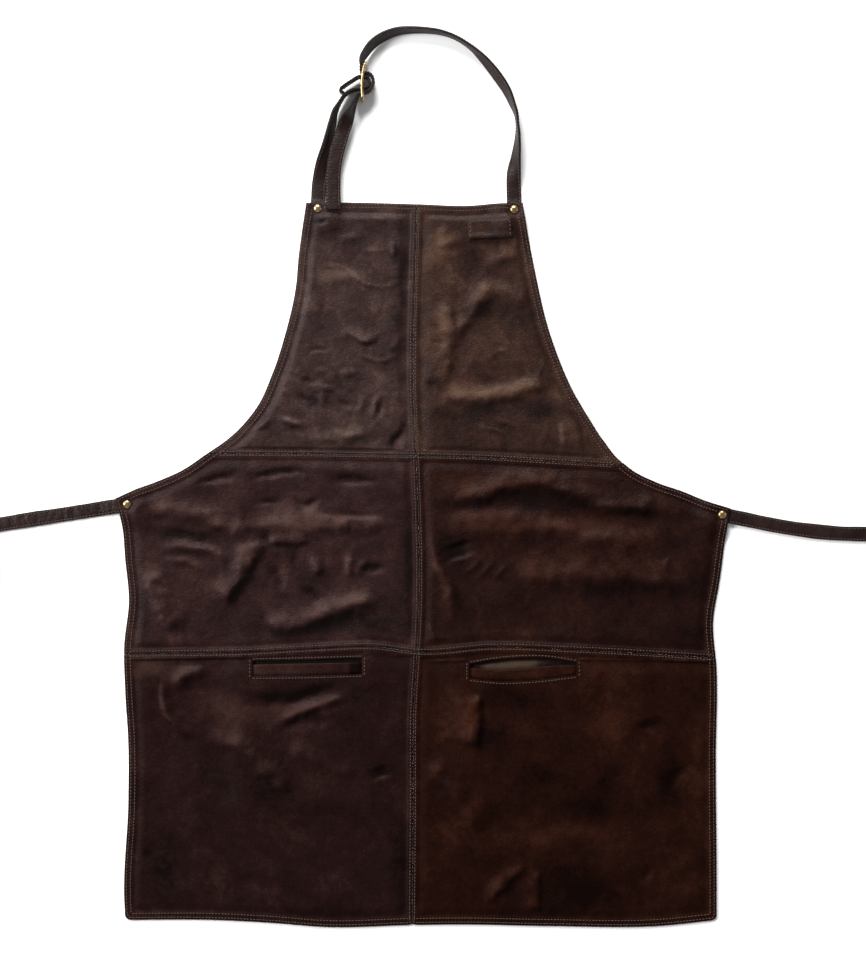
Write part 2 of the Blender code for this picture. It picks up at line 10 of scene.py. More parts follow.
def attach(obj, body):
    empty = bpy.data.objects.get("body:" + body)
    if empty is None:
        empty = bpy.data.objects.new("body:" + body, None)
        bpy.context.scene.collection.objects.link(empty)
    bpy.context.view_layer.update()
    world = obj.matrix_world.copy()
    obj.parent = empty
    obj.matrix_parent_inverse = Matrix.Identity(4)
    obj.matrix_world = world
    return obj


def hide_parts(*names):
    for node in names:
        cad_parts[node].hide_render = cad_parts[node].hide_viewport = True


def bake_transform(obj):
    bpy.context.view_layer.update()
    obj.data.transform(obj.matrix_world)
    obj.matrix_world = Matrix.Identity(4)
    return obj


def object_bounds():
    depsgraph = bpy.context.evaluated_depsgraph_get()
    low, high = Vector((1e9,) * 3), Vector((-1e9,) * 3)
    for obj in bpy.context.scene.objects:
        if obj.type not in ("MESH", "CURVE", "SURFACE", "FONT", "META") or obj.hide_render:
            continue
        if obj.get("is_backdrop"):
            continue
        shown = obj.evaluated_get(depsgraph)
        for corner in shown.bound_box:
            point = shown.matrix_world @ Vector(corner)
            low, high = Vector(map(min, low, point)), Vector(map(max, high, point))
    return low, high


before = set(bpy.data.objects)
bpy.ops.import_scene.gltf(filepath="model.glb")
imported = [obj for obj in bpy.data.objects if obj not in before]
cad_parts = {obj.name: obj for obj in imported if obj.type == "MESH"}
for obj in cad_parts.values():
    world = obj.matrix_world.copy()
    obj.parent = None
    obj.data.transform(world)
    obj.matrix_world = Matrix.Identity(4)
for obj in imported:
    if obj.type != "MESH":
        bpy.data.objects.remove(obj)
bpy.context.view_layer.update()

# ---------------------------------------------------------------- sizes, in metres
MM = 0.001
FLOOR_GAP = 0.00025         # the underside stays this far above the floor
LEATHER = 0.0014            # one ply of panel leather
HEM_EXTRA = 0.0010          # what a turned hem or a seam adds to it
HEM_WIDE = 0.0085
HEM_CORNER_R = 0.0055       # rounding of the two lower corners
HEM_ROWS = (0.0026, 0.0068)         # stitch rows, in from the edge
HEM_ROWS_TOP = (0.0018, 0.0052)     # the same along the top of the bib
CENTRE_ROWS = (-0.0026, 0.0026)     # stitch rows on the two sides of a seam
UPPER_ROWS = (-0.0022, 0.0021)
LOWER_ROWS = (-0.0021, 0.0031)
STRAP_WIDTH = 0.0150
STRAP_THICK = 0.0026        # two plies
STITCH_PITCH = 0.0033
STITCH_LONG = 0.0026
STITCH_R = 0.00046          # radius of the thread
HOLE_R = 0.00060            # radius of a needle hole
CELL = 0.0017               # width of a panel's grid cell
RIVET_CAP_R = 0.0045
ANCHOR_LIFT = 0.0042        # a strap end and the rivet's disc, under a corner
ANCHOR_LOW = 0.0125         # how far a neck strap end runs down under the bib from its rivet
NECK_BEND_Y = 0.2890        # where the neck loop bends up from the apron
SEAM_DROP = 0.0017          # a cross seam's fold lies this far below its upper row
SEAM_HALF_GAP = 0.0001      # between two panels that meet at a seam
BIB_TOP_Y = 0.2859
BAG_LOW_Y = -0.3340

# outline and seams of the front, as laid out flat
ARMHOLE_LEFT = [(-0.3198, -0.0209), (-0.2992, -0.0115), (-0.2746, -0.0023), (-0.2480, 0.0100),
                (-0.2272, 0.0242), (-0.2046, 0.0398), (-0.1752, 0.0710), (-0.1576, 0.1074),
                (-0.1440, 0.1490), (-0.1326, 0.2000), (-0.1299, 0.2302), (-0.1218, 0.2859)]
ARMHOLE_RIGHT = [(0.3188, -0.0313), (0.2938, -0.0236), (0.2682, -0.0132), (0.2408, -0.0036),
                 (0.2106, 0.0133), (0.1866, 0.0398), (0.1732, 0.0606), (0.1576, 0.0866),
                 (0.1420, 0.1210), (0.1316, 0.1501), (0.1154, 0.2177), (0.1030, 0.2859)]
SIDE_LEFT = [(-0.3100, -0.4590), (-0.3112, -0.4334), (-0.3069, -0.3377), (-0.3069, -0.2742),
             (-0.3101, -0.2212), (-0.3112, -0.1744), (-0.3063, -0.1266), (-0.3100, -0.0850),
             (-0.3137, -0.0461), (-0.3198, -0.0209)]
SIDE_RIGHT = [(0.3046, -0.4590), (0.3046, -0.4090), (0.3038, -0.2900), (0.3046, -0.1980),
              (0.3011, -0.1474), (0.3078, -0.1058), (0.3144, -0.0574), (0.3188, -0.0313)]
BIB_TOP = [(-0.1218, 0.2859), (-0.0840, 0.2866), (-0.0068, 0.2849), (0.0494, 0.2834),
           (0.0733, 0.2853), (0.1030, 0.2859)]
HEM = [(-0.3100, -0.4590), (-0.2200, -0.4590), (-0.1565, -0.4622), (-0.1035, -0.4663),
       (-0.0120, -0.4643), (0.0411, -0.4637), (0.1284, -0.4653), (0.2491, -0.4649),
       (0.3046, -0.4590)]
CENTRE_SEAM = [(-0.0120, -0.4663), (-0.0109, -0.3377), (-0.0103, -0.2378), (-0.0068, -0.1800),
               (-0.0048, -0.1349), (-0.0078, 0.0242), (-0.0103, 0.0814), (-0.0068, 0.2866)]
UPPER_SEAM = [(-0.2230, 0.0272), (-0.1960, 0.0274), (-0.0140, 0.0253), (0.0494, 0.0239),
              (0.1451, 0.0186), (0.2064, 0.0150)]
LOWER_SEAM = [(-0.3112, -0.1812), (-0.1825, -0.1791), (-0.1097, -0.1752), (-0.0484, -0.1735),
              (-0.0068, -0.1790), (0.0712, -0.1738), (0.1555, -0.1765), (0.3046, -0.1850)]
RIVETS = {"neck_left": (-0.1097, 0.2800), "neck_right": (0.0942, 0.2790),
          "waist_left": (-0.3078, -0.0270), "waist_right": (0.3103, -0.0378)}
POCKETS = {
    "left": {"x": (-0.1773, -0.0640),
             "high": [(-0.1773, -0.1897), (-0.1200, -0.1885), (-0.0640, -0.1868)],
             "low": [(-0.1773, -0.2056), (-0.1200, -0.2050), (-0.0640, -0.2034)],
             "welt": [(-0.1773, -0.1935), (-0.1200, -0.1922), (-0.0640, -0.1912)]},
    "right": {"x": (0.0480, 0.1590),
              "high": [(0.0480, -0.1929), (0.0770, -0.1883), (0.1059, -0.1862), (0.1280, -0.1867),
                      (0.1590, -0.1913)],
              "low": [(0.0480, -0.2078), (0.0800, -0.2108), (0.1100, -0.2100), (0.1590, -0.2045)],
              "welt": [(0.0480, -0.1966), (0.0736, -0.1992), (0.1069, -0.1974), (0.1290, -0.1950),
                      (0.1590, -0.1938)]},
}
POCKET_LIFT = 0.0034
PATCH_AT = (0.0692, 0.2591)
PATCH_SIZE = (0.0458, 0.0203)
PATCH_TURN = math.radians(2.0)


# ---------------------------------------------------------------- curves and noise
def unit(rows):
    """Rows of vectors, each made one long."""
    return rows / np.linalg.norm(rows, axis=1)[:, None]


def travelled(points):
    """How far along a polyline each of its points is."""
    steps = np.linalg.norm(np.diff(points, axis=0), axis=1)
    return np.concatenate([[0.0], np.cumsum(steps)])


def hermite(knots, values, at):
    """Smooth curve through the values at the knots, held at its two ends."""
    slopes = np.gradient(values, knots, axis=0)
    at = np.clip(np.asarray(at, float), knots[0], knots[-1])
    i = np.clip(np.searchsorted(knots, at) - 1, 0, len(knots) - 2)
    step = knots[i + 1] - knots[i]
    k = (at - knots[i]) / step
    if values.ndim > 1:
        step = step[..., None]
        k = k[..., None]
    start = values[i] * (1 + 2 * k) * (1 - k) ** 2 + slopes[i] * step * k * (1 - k) ** 2
    end = values[i + 1] * k * k * (3 - 2 * k) + slopes[i + 1] * step * k * k * (k - 1)
    return start + end


def line_by_x(points):
    ordered = sorted(points)
    knots = np.array([p[0] for p in ordered])
    values = np.array([p[1] for p in ordered])
    return lambda x: hermite(knots, values, x)


def line_by_y(points):
    return line_by_x([(p[1], p[0]) for p in points])


centre_x = line_by_y(CENTRE_SEAM)
upper_curve = line_by_x(UPPER_SEAM)
lower_curve = line_by_x(LOWER_SEAM)
bib_top_y = line_by_x(BIB_TOP)
hem_curve = line_by_x(HEM)
armhole_x = {"left": line_by_y(ARMHOLE_LEFT), "right": line_by_y(ARMHOLE_RIGHT)}
armhole_y = {"left": line_by_x(ARMHOLE_LEFT), "right": line_by_x(ARMHOLE_RIGHT)}
side_x = {"left": line_by_y(SIDE_LEFT), "right": line_by_y(SIDE_RIGHT)}
seam_end_x = {"left": UPPER_SEAM[0][0], "right": UPPER_SEAM[-1][0]}
SIGN = {"left": -1.0, "right": 1.0}


def upper_seam_y(x):
    return upper_curve(x) - SEAM_DROP


def lower_seam_y(x):
    return lower_curve(x) - SEAM_DROP


def hem_y(x):
    """Hem with its two rounded corners and the small notch at the seam."""
    r = HEM_CORNER_R
    low = hem_curve(x)
    for corner in (SIDE_LEFT[0][0], SIDE_RIGHT[0][0]):
        away = np.clip(np.abs(x - corner), 0.0, r)
        low = low + r - np.sqrt(r * r - (r - away) ** 2)
    return low + 0.0012 * np.exp(-((x - centre_x(-0.464)) / 0.0022) ** 2)


def smooth(k):
    k = np.clip(k, 0.0, 1.0)
    return k * k * (3.0 - 2.0 * k)


def noise(x, y, size, seed):
    """Smooth noise from about -1 to 1 with features of about that size."""
    rng = np.random.default_rng(seed)
    order = rng.permutation(256)
    angle = rng.uniform(0, 2 * math.pi, 256)
    u = x / size + 57.3
    v = y / size + 91.7
    iu = np.floor(u).astype(int)
    iv = np.floor(v).astype(int)
    fu = u - iu
    fv = v - iv

    def corner(i, j):
        turn = angle[order[(order[(iu + i) % 256] + iv + j) % 256]]
        return np.cos(turn) * (fu - i) + np.sin(turn) * (fv - j)

    su = fu ** 3 * (fu * (fu * 6 - 15) + 10)
    sv = fv ** 3 * (fv * (fv * 6 - 15) + 10)
    low = corner(0, 0) + (corner(1, 0) - corner(0, 0)) * su
    high = corner(0, 1) + (corner(1, 1) - corner(0, 1)) * su
    return 1.5 * (low + (high - low) * sv)


def creases(x, y, size, thin, seed):
    """Net of thin wandering lines: 1 on a line, 0 away from it."""
    wx = x + 0.45 * size * noise(x, y, size * 1.7, seed + 1)
    wy = y + 0.45 * size * noise(x, y, size * 1.7, seed + 2)
    return np.exp(-(noise(wx, wy, size, seed) / thin) ** 2)


def near_line(x, y, line):
    """Distance to a polyline, the side (1 on its left) and the share of its length there."""
    line = np.asarray(line, float)
    far = np.linalg.norm(np.diff(line, axis=0), axis=1)
    start = np.concatenate([[0.0], np.cumsum(far)])
    best = np.full(x.shape, 1e9)
    side = np.zeros(x.shape)
    share = np.zeros(x.shape)
    for i in range(len(far)):
        dx, dy = (line[i + 1] - line[i]) / far[i]
        px = x - line[i][0]
        py = y - line[i][1]
        along = np.clip(px * dx + py * dy, 0, far[i])
        away = np.hypot(px - along * dx, py - along * dy)
        closer = away < best
        best = np.where(closer, away, best)
        side = np.where(closer, np.sign(dx * py - dy * px), side)
        share = np.where(closer, (start[i] + along) / start[-1], share)
    return best, side, share


def even_line(points, step):
    """The polyline's points at even steps."""
    points = np.asarray(points, float)
    knots = travelled(points)
    count = max(2, int(round(knots[-1] / step)) + 1)
    at = np.linspace(0, knots[-1], count)
    return np.stack([np.interp(at, knots, points[:, k]) for k in range(points.shape[1])], axis=1)


def curve_through(points, step):
    """Smooth curve through a few points, at even steps."""
    points = np.asarray(points, float)
    if len(points) < 3:
        return even_line(points, step)
    knots = travelled(points)
    return even_line(hermite(knots, points, np.linspace(0, knots[-1], 8 * len(points))), step)


def outline_points():
    """The apron's outline, anticlockwise from the lower left corner."""
    def by_x(curve, start, end, count):
        xs = np.linspace(start, end, count)
        return np.stack([xs, curve(xs)], axis=1)

    def by_y(curve, start, end, count):
        ys = np.linspace(start, end, count)
        return np.stack([curve(ys), ys], axis=1)

    left_end, right_end = UPPER_SEAM[0], UPPER_SEAM[-1]
    hem = by_x(hem_y, SIDE_LEFT[0][0], SIDE_RIGHT[0][0], 400)
    return np.concatenate([
        hem,
        by_y(side_x["right"], SIDE_RIGHT[0][1] + HEM_CORNER_R, SIDE_RIGHT[-1][1], 200),
        by_x(armhole_y["right"], ARMHOLE_RIGHT[0][0], right_end[0], 60),
        by_y(armhole_x["right"], right_end[1] + 0.0015, BIB_TOP_Y, 160),
        by_x(bib_top_y, BIB_TOP[-1][0], BIB_TOP[0][0], 160),
        by_y(armhole_x["left"], BIB_TOP_Y, left_end[1], 160),
        by_x(armhole_y["left"], left_end[0], ARMHOLE_LEFT[0][0], 60),
        by_y(side_x["left"], SIDE_LEFT[-1][1], SIDE_LEFT[0][1] + HEM_CORNER_R, 200),
        hem[:1]])


OUTLINE = even_line(outline_points(), 0.0005)
outline_tree = KDTree(len(OUTLINE))
for number, point in enumerate(OUTLINE):
    outline_tree.insert((point[0], point[1], 0.0), number)
outline_tree.balance()


def rim_distance(x, y):
    """Distance to the apron's outline."""
    places = zip(x.ravel().tolist(), y.ravel().tolist())
    return np.array([outline_tree.find((px, py, 0.0))[2] for px, py in places]).reshape(x.shape)


# ---------------------------------------------------------------- folds
# height, width on the left of travel, width on the right, then the points: all in millimetres
FOLDS = {
    "bib_left": [
        (-2.6, 11, 1.6, [(-17, 60), (-27, 44), (-37, 31)]),
        (2.4, 4, 2, [(-154, 62), (-135, 56), (-118, 51)]),
        (1.3, 4, 3, [(-190, 45), (-172, 54), (-154, 62)]),
        (-2.0, 4, 4, [(-134, 89), (-118, 80), (-104, 68)]),
        (1.4, 4, 4, [(-115, 98), (-104, 95), (-92, 87)]),
        (1.2, 3, 3, [(-107, 95), (-105, 83), (-104, 70)]),
        (-1.7, 3.5, 3, [(-93, 80), (-82, 77), (-72, 74)]),
        (1.3, 3, 3, [(-71, 65), (-64, 76), (-64, 90)]),
        (1.5, 3.5, 3, [(-56, 61), (-49, 76), (-41, 91)]),
        (-1.3, 3, 3, [(-48, 63), (-46, 73), (-46, 84)]),
        (2.2, 8, 2, [(-88, 143), (-74, 149), (-60, 141), (-43, 153)]),
        (0.8, 1.6, 1.6, [(-76, 142), (-69, 131), (-61, 125), (-32, 125), (-16, 133)]),
        (0.7, 1.6, 1.6, [(-58, 140), (-52, 132), (-47, 124)]),
        (-1.0, 1.8, 1.8, [(-124, 125), (-115, 133), (-104, 134), (-93, 136)]),
        (-0.9, 1.6, 1.6, [(-152, 133), (-146, 134), (-140, 132)]),
        (-0.8, 1.6, 1.6, [(-152, 122), (-143, 125), (-133, 124)]),
        (-0.8, 1.6, 1.6, [(-159, 95), (-148, 95), (-137, 92)]),
        (0.9, 2.5, 2, [(-118, 217), (-104, 221), (-76, 214), (-58, 200), (-17, 203)]),
        (1.3, 3, 3, [(-33, 249), (-31, 238), (-31, 228)]),
        (0.9, 2.5, 2.5, [(-67, 234), (-50, 237), (-36, 236)]),
        (0.9, 3, 3, [(-56, 271), (-47, 270), (-39, 265)]),
        (0.9, 4, 4, [(-90, 245), (-76, 249), (-61, 249)]),
        (-1.3, 3, 1.5, [(-122, 270), (-108, 264), (-97, 269)]),
        (0.9, 3, 3, [(-14, 159), (-24, 145), (-34, 129)]),
        (-0.9, 2, 2, [(-104, 181), (-105, 177), (-106, 173)]),
        (1.0, 3, 4, [(-120, 108), (-106, 112), (-92, 104), (-84, 92)]),
        (-1.2, 3, 3, [(-128, 104), (-118, 101), (-108, 100)]),
        (1.1, 4, 3, [(-88, 114), (-78, 108), (-66, 112)]),
        (1.2, 6, 5, [(-150, 40), (-110, 42), (-60, 46), (-30, 58)]),
    ],
    "bib_right": [
        (2.0, 5, 13, [(24, 190), (28, 163), (27, 139), (23, 110), (19, 89)]),
        (2.6, 12, 6, [(27, 138), (42, 161), (62, 184), (78, 198)]),
        (1.8, 12, 9, [(46, 184), (78, 192), (112, 182)]),
        (1.8, 8, 6, [(9, 240), (29, 245), (46, 254)]),
        (1.1, 5, 5, [(11, 252), (31, 260)]),
        (1.3, 7, 5, [(62, 217), (87, 230), (108, 238)]),
        (1.0, 3.5, 3.5, [(91, 243), (101, 246), (110, 246)]),
        (2.9, 10, 7, [(15, 86), (67, 84), (110, 93), (134, 99)]),
        (0.7, 1.4, 1.4, [(130, 130), (122, 116), (116, 98)]),
        (0.7, 1.4, 1.4, [(135, 68), (128, 50), (120, 28)]),
        (1.8, 14, 14, [(140, 44), (165, 46)]),
        (-1.0, 4, 4, [(2, 100), (15, 93)]),
        (-0.7, 1.6, 1.6, [(7, 143), (15, 141), (23, 137)]),
        (0.7, 2, 2, [(54, 56), (70, 50), (88, 44)]),
        (0.7, 2, 2, [(70, 62), (92, 55), (108, 46)]),
        (0.6, 2, 2, [(60, 120), (76, 130), (92, 134)]),
    ],
    "waist_left": [
        (2.4, 14, 8, [(-184, -49), (-150, -48), (-108, -48), (-27, -45)]),
        (2.2, 12, 8, [(-292, -32), (-238, -38), (-205, -50), (-176, -66)]),
        (3.2, 6, 14, [(-163, -64), (-175, -77), (-190, -104), (-210, -134)]),
        (1.8, 10, 3, [(-164, -65), (-138, -66), (-116, -63)]),
        (-1.3, 5, 5, [(-158, -88), (-151, -104), (-145, -120)]),
        (3.2, 14, 7, [(-166, -142), (-150, -152), (-137, -156), (-116, -148), (-86, -138), (-42, -124)]),
        (2.5, 16, 7, [(-285, -90), (-279, -121), (-269, -141), (-251, -159)]),
        (1.7, 5, 5, [(-283, -74), (-239, -72), (-212, -80), (-203, -100)]),
        (0.9, 4, 4, [(-276, -85), (-239, -88), (-217, -100)]),
        (-1.6, 7, 7, [(-298, -56), (-250, -61), (-196, -74)]),
        (1.5, 5, 5, [(-117, -78), (-111, -90), (-107, -103)]),
        (1.5, 5, 5, [(-77, -77), (-76, -90), (-79, -105)]),
        (1.0, 4, 4, [(-60, -84), (-64, -92), (-68, -104)]),
        (-1.5, 4, 4, [(-69, -97), (-54, -95), (-38, -93)]),
        (-1.7, 5, 5, [(-130, -113), (-114, -122), (-99, -133)]),
        (-1.3, 3.5, 3.5, [(-239, -5), (-212, 0), (-186, 6)]),
        (-1.4, 3, 3, [(-186, -3), (-160, 4), (-112, 7)]),
        (-1.0, 3, 3, [(-176, -23), (-160, -25), (-145, -24)]),
        (-1.3, 3, 3, [(-136, -17), (-122, -28), (-105, -19)]),
        (-1.5, 5, 5, [(-103, 0), (-68, -2), (-40, -4)]),
        (-1.1, 4, 4, [(-116, -34), (-64, -39), (-31, -37)]),
    ],
    "waist_right": [
        (2.8, 12, 7, [(6, -16), (54, -20), (88, -7), (116, -4), (148, -13), (183, -27), (228, -30),
                      (284, -37)]),
        (2.0, 10, 16, [(4, -50), (54, -44), (114, -46), (169, -61), (261, -64)]),
        (1.8, 4.5, 5, [(4, -52), (11, -71), (16, -93), (27, -112), (30, -160)]),
        (-2.2, 11, 11, [(34, -66), (40, -84)]),
        (1.8, 20, 12, [(82, -103), (160, -103), (249, -105), (292, -103)]),
        (1.3, 3, 4, [(2, -148), (11, -162), (25, -169)]),
        (0.6, 1.5, 1.5, [(249, -100), (251, -89), (258, -80)]),
        (0.7, 2, 2, [(41, -103), (52, -92), (61, -80)]),
        (0.7, 2, 2, [(55, -105), (66, -94), (77, -80)]),
        (0.6, 2, 2, [(70, -106), (80, -97), (90, -86)]),
    ],
    "skirt_left": [
        (2.0, 5, 3, [(-268, -200), (-270, -230), (-261, -254), (-248, -265), (-228, -269)]),
        (1.9, 12, 7, [(-230, -269), (-188, -280), (-166, -301), (-138, -331)]),
        (1.9, 8, 7, [(-267, -220), (-239, -200), (-220, -192)]),
        (-1.3, 6, 8, [(-205, -219), (-175, -229), (-138, -232), (-106, -221), (-63, -209)]),
        (2.0, 5, 5, [(-158, -263), (-134, -245), (-95, -231), (-67, -221)]),
        (-1.0, 6, 6, [(-155, -270), (-134, -254), (-106, -252), (-84, -246)]),
        (1.2, 10, 10, [(-142, -276), (-105, -292), (-67, -310)]),
        (-1.3, 8, 8, [(-293, -372), (-271, -405), (-250, -432)]),
        (-0.9, 6, 6, [(-200, -415), (-170, -420), (-149, -432)]),
        (-1.0, 10, 10, [(-46, -300), (-42, -312)]),
    ],
    "skirt_right": [
        (2.0, 3.5, 16, [(56, -222), (57, -250), (55, -281)]),
        (1.7, 12, 8, [(4, -290), (35, -331), (62, -367)]),
        (1.9, 5, 9, [(110, -398), (84, -421), (62, -446)]),
        (1.4, 4, 10, [(119, -405), (118, -430), (117, -452)]),
        (-0.8, 6, 6, [(217, -258), (235, -257), (251, -254)]),
        (-0.9, 7, 7, [(271, -294), (260, -313), (247, -331)]),
        (-0.8, 4, 4, [(240, -403), (232, -411), (224, -418)]),
    ],
}

# raised edge of the seam allowance under the skirts, in millimetres
ALLOWANCES = {"left": [[(-306, -188.4), (-240, -186.8), (-184, -185.3)],
                       [(-61, -182.2), (-42, -183), (-24, -185.6)]],
              "right": [[(4, -190.6), (25, -190), (45, -189.4)],
                        [(160, -188.3), (230, -189.5), (301, -190.4)]]}

# patches of lighter and darker leather, partly the leather's own colour and partly painted light and shade:
# the narrow dark bands beside the centre seam and the dark bands on slopes that face away from the lights are
# painted shade, and the pale patches on west-facing slopes are painted sheen: x, y, half wide, half high in
# millimetres, and how much
TONE_AND_SHADE_PATCHES = {
    "bib_left": [(-80, 211, 24, 6, 0.9), (-110, 190, 30, 40, 0.15), (-60, 60, 35, 14, 0.2),
                 (-25, 200, 6, 60, -0.6), (-28, 42, 8, 10, 0.4), (-90, 160, 25, 20, -0.1)],
    "bib_right": [(22, 225, 14, 30, 0.5), (60, 130, 40, 22, 0.35), (70, 175, 35, 10, -0.6),
                  (60, 68, 55, 7, -0.6), (120, 75, 14, 9, -0.3), (150, 48, 18, 12, 0.4),
                  (95, 92, 40, 6, 0.5), (10, 98, 8, 6, -0.5)],
    "waist_left": [(-110, -50, 70, 6, 0.6), (-245, -62, 45, 8, -0.3), (-240, -120, 30, 30, 0.25),
                   (-197, -100, 10, 26, -0.6), (-100, -152, 60, 9, -0.6), (-290, -135, 10, 25, -0.3),
                   (-17, -90, 6, 60, -0.5), (-80, -168, 50, 4, 0.3)],
    "waist_right": [(30, 0, 28, 14, 0.4), (140, -24, 110, 8, -0.7), (34, -76, 12, 18, -0.6),
                    (130, -48, 90, 8, 0.5), (220, -112, 60, 10, -0.5), (110, -85, 50, 14, 0.2),
                    (280, -160, 14, 12, -0.3), (100, -160, 14, 8, 0.3)],
    "skirt_left": [(-190, -240, 45, 20, 0.6), (-140, -226, 45, 7, -0.6), (-285, -195, 25, 12, 0.5),
                   (-160, -315, 28, 24, -0.4), (-90, -285, 32, 18, -0.15), (-105, -238, 35, 6, 0.5),
                   (-272, -405, 16, 30, -0.35), (-43, -305, 14, 12, -0.3), (-110, -310, 40, 18, 0.2),
                   (-170, -380, 70, 40, 0.08), (-24, -420, 8, 40, -0.5)],
    "skirt_right": [(28, -250, 22, 24, 0.5), (195, -258, 24, 34, 0.6), (125, -369, 38, 12, 0.5),
                    (26, -366, 22, 18, 0.45), (285, -285, 12, 60, 0.4), (272, -427, 20, 16, 0.4),
                    (184, -206, 42, 12, 0.3), (69, -270, 14, 14, -0.6), (123, -308, 18, 14, -0.6),
                    (177, -342, 24, 11, -0.6), (198, -310, 8, 13, -0.4), (256, -320, 11, 20, -0.5),
                    (233, -258, 20, 8, -0.4), (156, -427, 34, 24, -0.7), (94, -229, 26, 10, -0.35),
                    (30, -330, 14, 26, -0.4), (88, -424, 9, 18, -0.4), (230, -390, 40, 16, 0.25)],
}

# how high each panel puffs up, and over what distance at the centre seam, upper, lower seam and rim
PUFF = {
    "bib_left": (3.6, 13, 2.2, 30, 9),
    "bib_right": (3.0, 15, 6, 30, 8),
    "waist_left": (2.6, 10, 13, 8, 10),
    "waist_right": (2.6, 11, 13, 11, 10),
    "skirt_left": (2.0, 10, 30, 16, 10),
    "skirt_right": (1.8, 12, 30, 16, 10),
}
# how crumpled each panel is: broad waves, creases, fine wrinkles
CRUMPLE = {
    "bib_left": (0.7, 0.34, 0.14),
    "bib_right": (0.6, 0.16, 0.10),
    "waist_left": (0.7, 0.16, 0.09),
    "waist_right": (0.6, 0.10, 0.10),
    "skirt_left": (0.5, 0.05, 0.04),
    "skirt_right": (0.45, 0.05, 0.04),
}
# how much taller the folds stand than the heights listed for them
FOLD_SCALE = {"bib": 1.15, "waist": 1.6, "skirt": 1.7}


def painted_slope_light(x, y, name, strokes):
    """Painted light and shade: paler on the slopes of the folds that face the lights at the north-west, darker
    on the slopes that face away from them.
    """
    d = 0.0028
    rise = fold_heights(x + d, y - d, strokes) - fold_heights(x - d, y + d, strokes)
    return np.clip(0.34 * FOLD_SCALE[name] * rise / MM, -1.4, 0.8)


def fold_heights(x, y, strokes):
    """Height of the folds and dents, each a stroke that tapers at its two ends."""
    total = np.zeros(x.shape)
    uneven = 0.95 + 0.35 * noise(x, y, 0.016, 97)
    x, y = (x + 0.0016 * noise(x, y, 0.015, 93) + 0.0009 * noise(x, y, 0.006, 94),
            y + 0.0016 * noise(x, y, 0.015, 95) + 0.0009 * noise(x, y, 0.006, 96))
    for high, left, right, points in strokes:
        line = curve_through([(px * MM, py * MM) for px, py in points], 0.004)
        reach = 3.0 * max(left, right) * MM
        low_x, low_y = line.min(0) - reach
        high_x, high_y = line.max(0) + reach
        inside = (x > low_x) & (x < high_x) & (y > low_y) & (y < high_y)
        away, side, share = near_line(x[inside], y[inside], line)
        wide = np.where(side > 0, left, right) * MM
        ends = 0.20 if max(left, right) > 9 else 0.40
        taper = smooth(share / ends) * smooth((1 - share) / ends)
        total[inside] += high * MM * taper * np.exp(-(away / wide) ** 2)
    return total * uneven


def patch_tones_and_shade(x, y, patches):
    """Soft-edged patches of lighter and darker leather, partly the leather's colour and partly painted shade
    and painted sheen.
    """
    total = np.zeros(x.shape)
    wx = x + 0.006 * noise(x, y, 0.03, 91)
    wy = y + 0.006 * noise(x, y, 0.03, 92)
    for px, py, half_x, half_y, much in patches:
        away = ((wx - px * MM) / (half_x * MM)) ** 2 + ((wy - py * MM) / (half_y * MM)) ** 2
        total += much * np.exp(-0.9 * away)
    return total


def distance_to_box(x, y, low, high):
    dx = np.maximum(np.maximum(low[0] - x, x - high[0]), 0.0)
    dy = np.maximum(np.maximum(low[1] - y, y - high[1]), 0.0)
    return np.hypot(dx, dy)


def rivet_lift(x, y):
    """The strap end under a riveted corner lifts the leather."""
    lift = np.zeros(x.shape)
    for place, (rx, ry) in RIVETS.items():
        half = STRAP_WIDTH / 2
        if place.startswith("neck"):
            low, high = (rx - half, ry - ANCHOR_LOW), (rx + half, ry + 0.006)
        else:
            low, high = (rx - 0.009, ry - half), (rx + 0.009, ry + half)
        away = distance_to_box(x, y, low, high)
        lift = np.maximum(lift, ANCHOR_LIFT * (1 - smooth((away - 0.002) / 0.022)))
    return lift


def pocket_lift(x, y):
    """The pocket bag lifts the leather over it."""
    lift = np.zeros(x.shape)
    for pocket in POCKETS.values():
        x0, x1 = pocket["x"]
        away = distance_to_box(x, y, (x0 - 0.004, -0.3300), (x1 + 0.004, -0.1880))
        away = away + 0.003 * noise(x, y, 0.04, 31)
        lift = np.maximum(lift, POCKET_LIFT * (1 - smooth(away / 0.034)))
    return lift


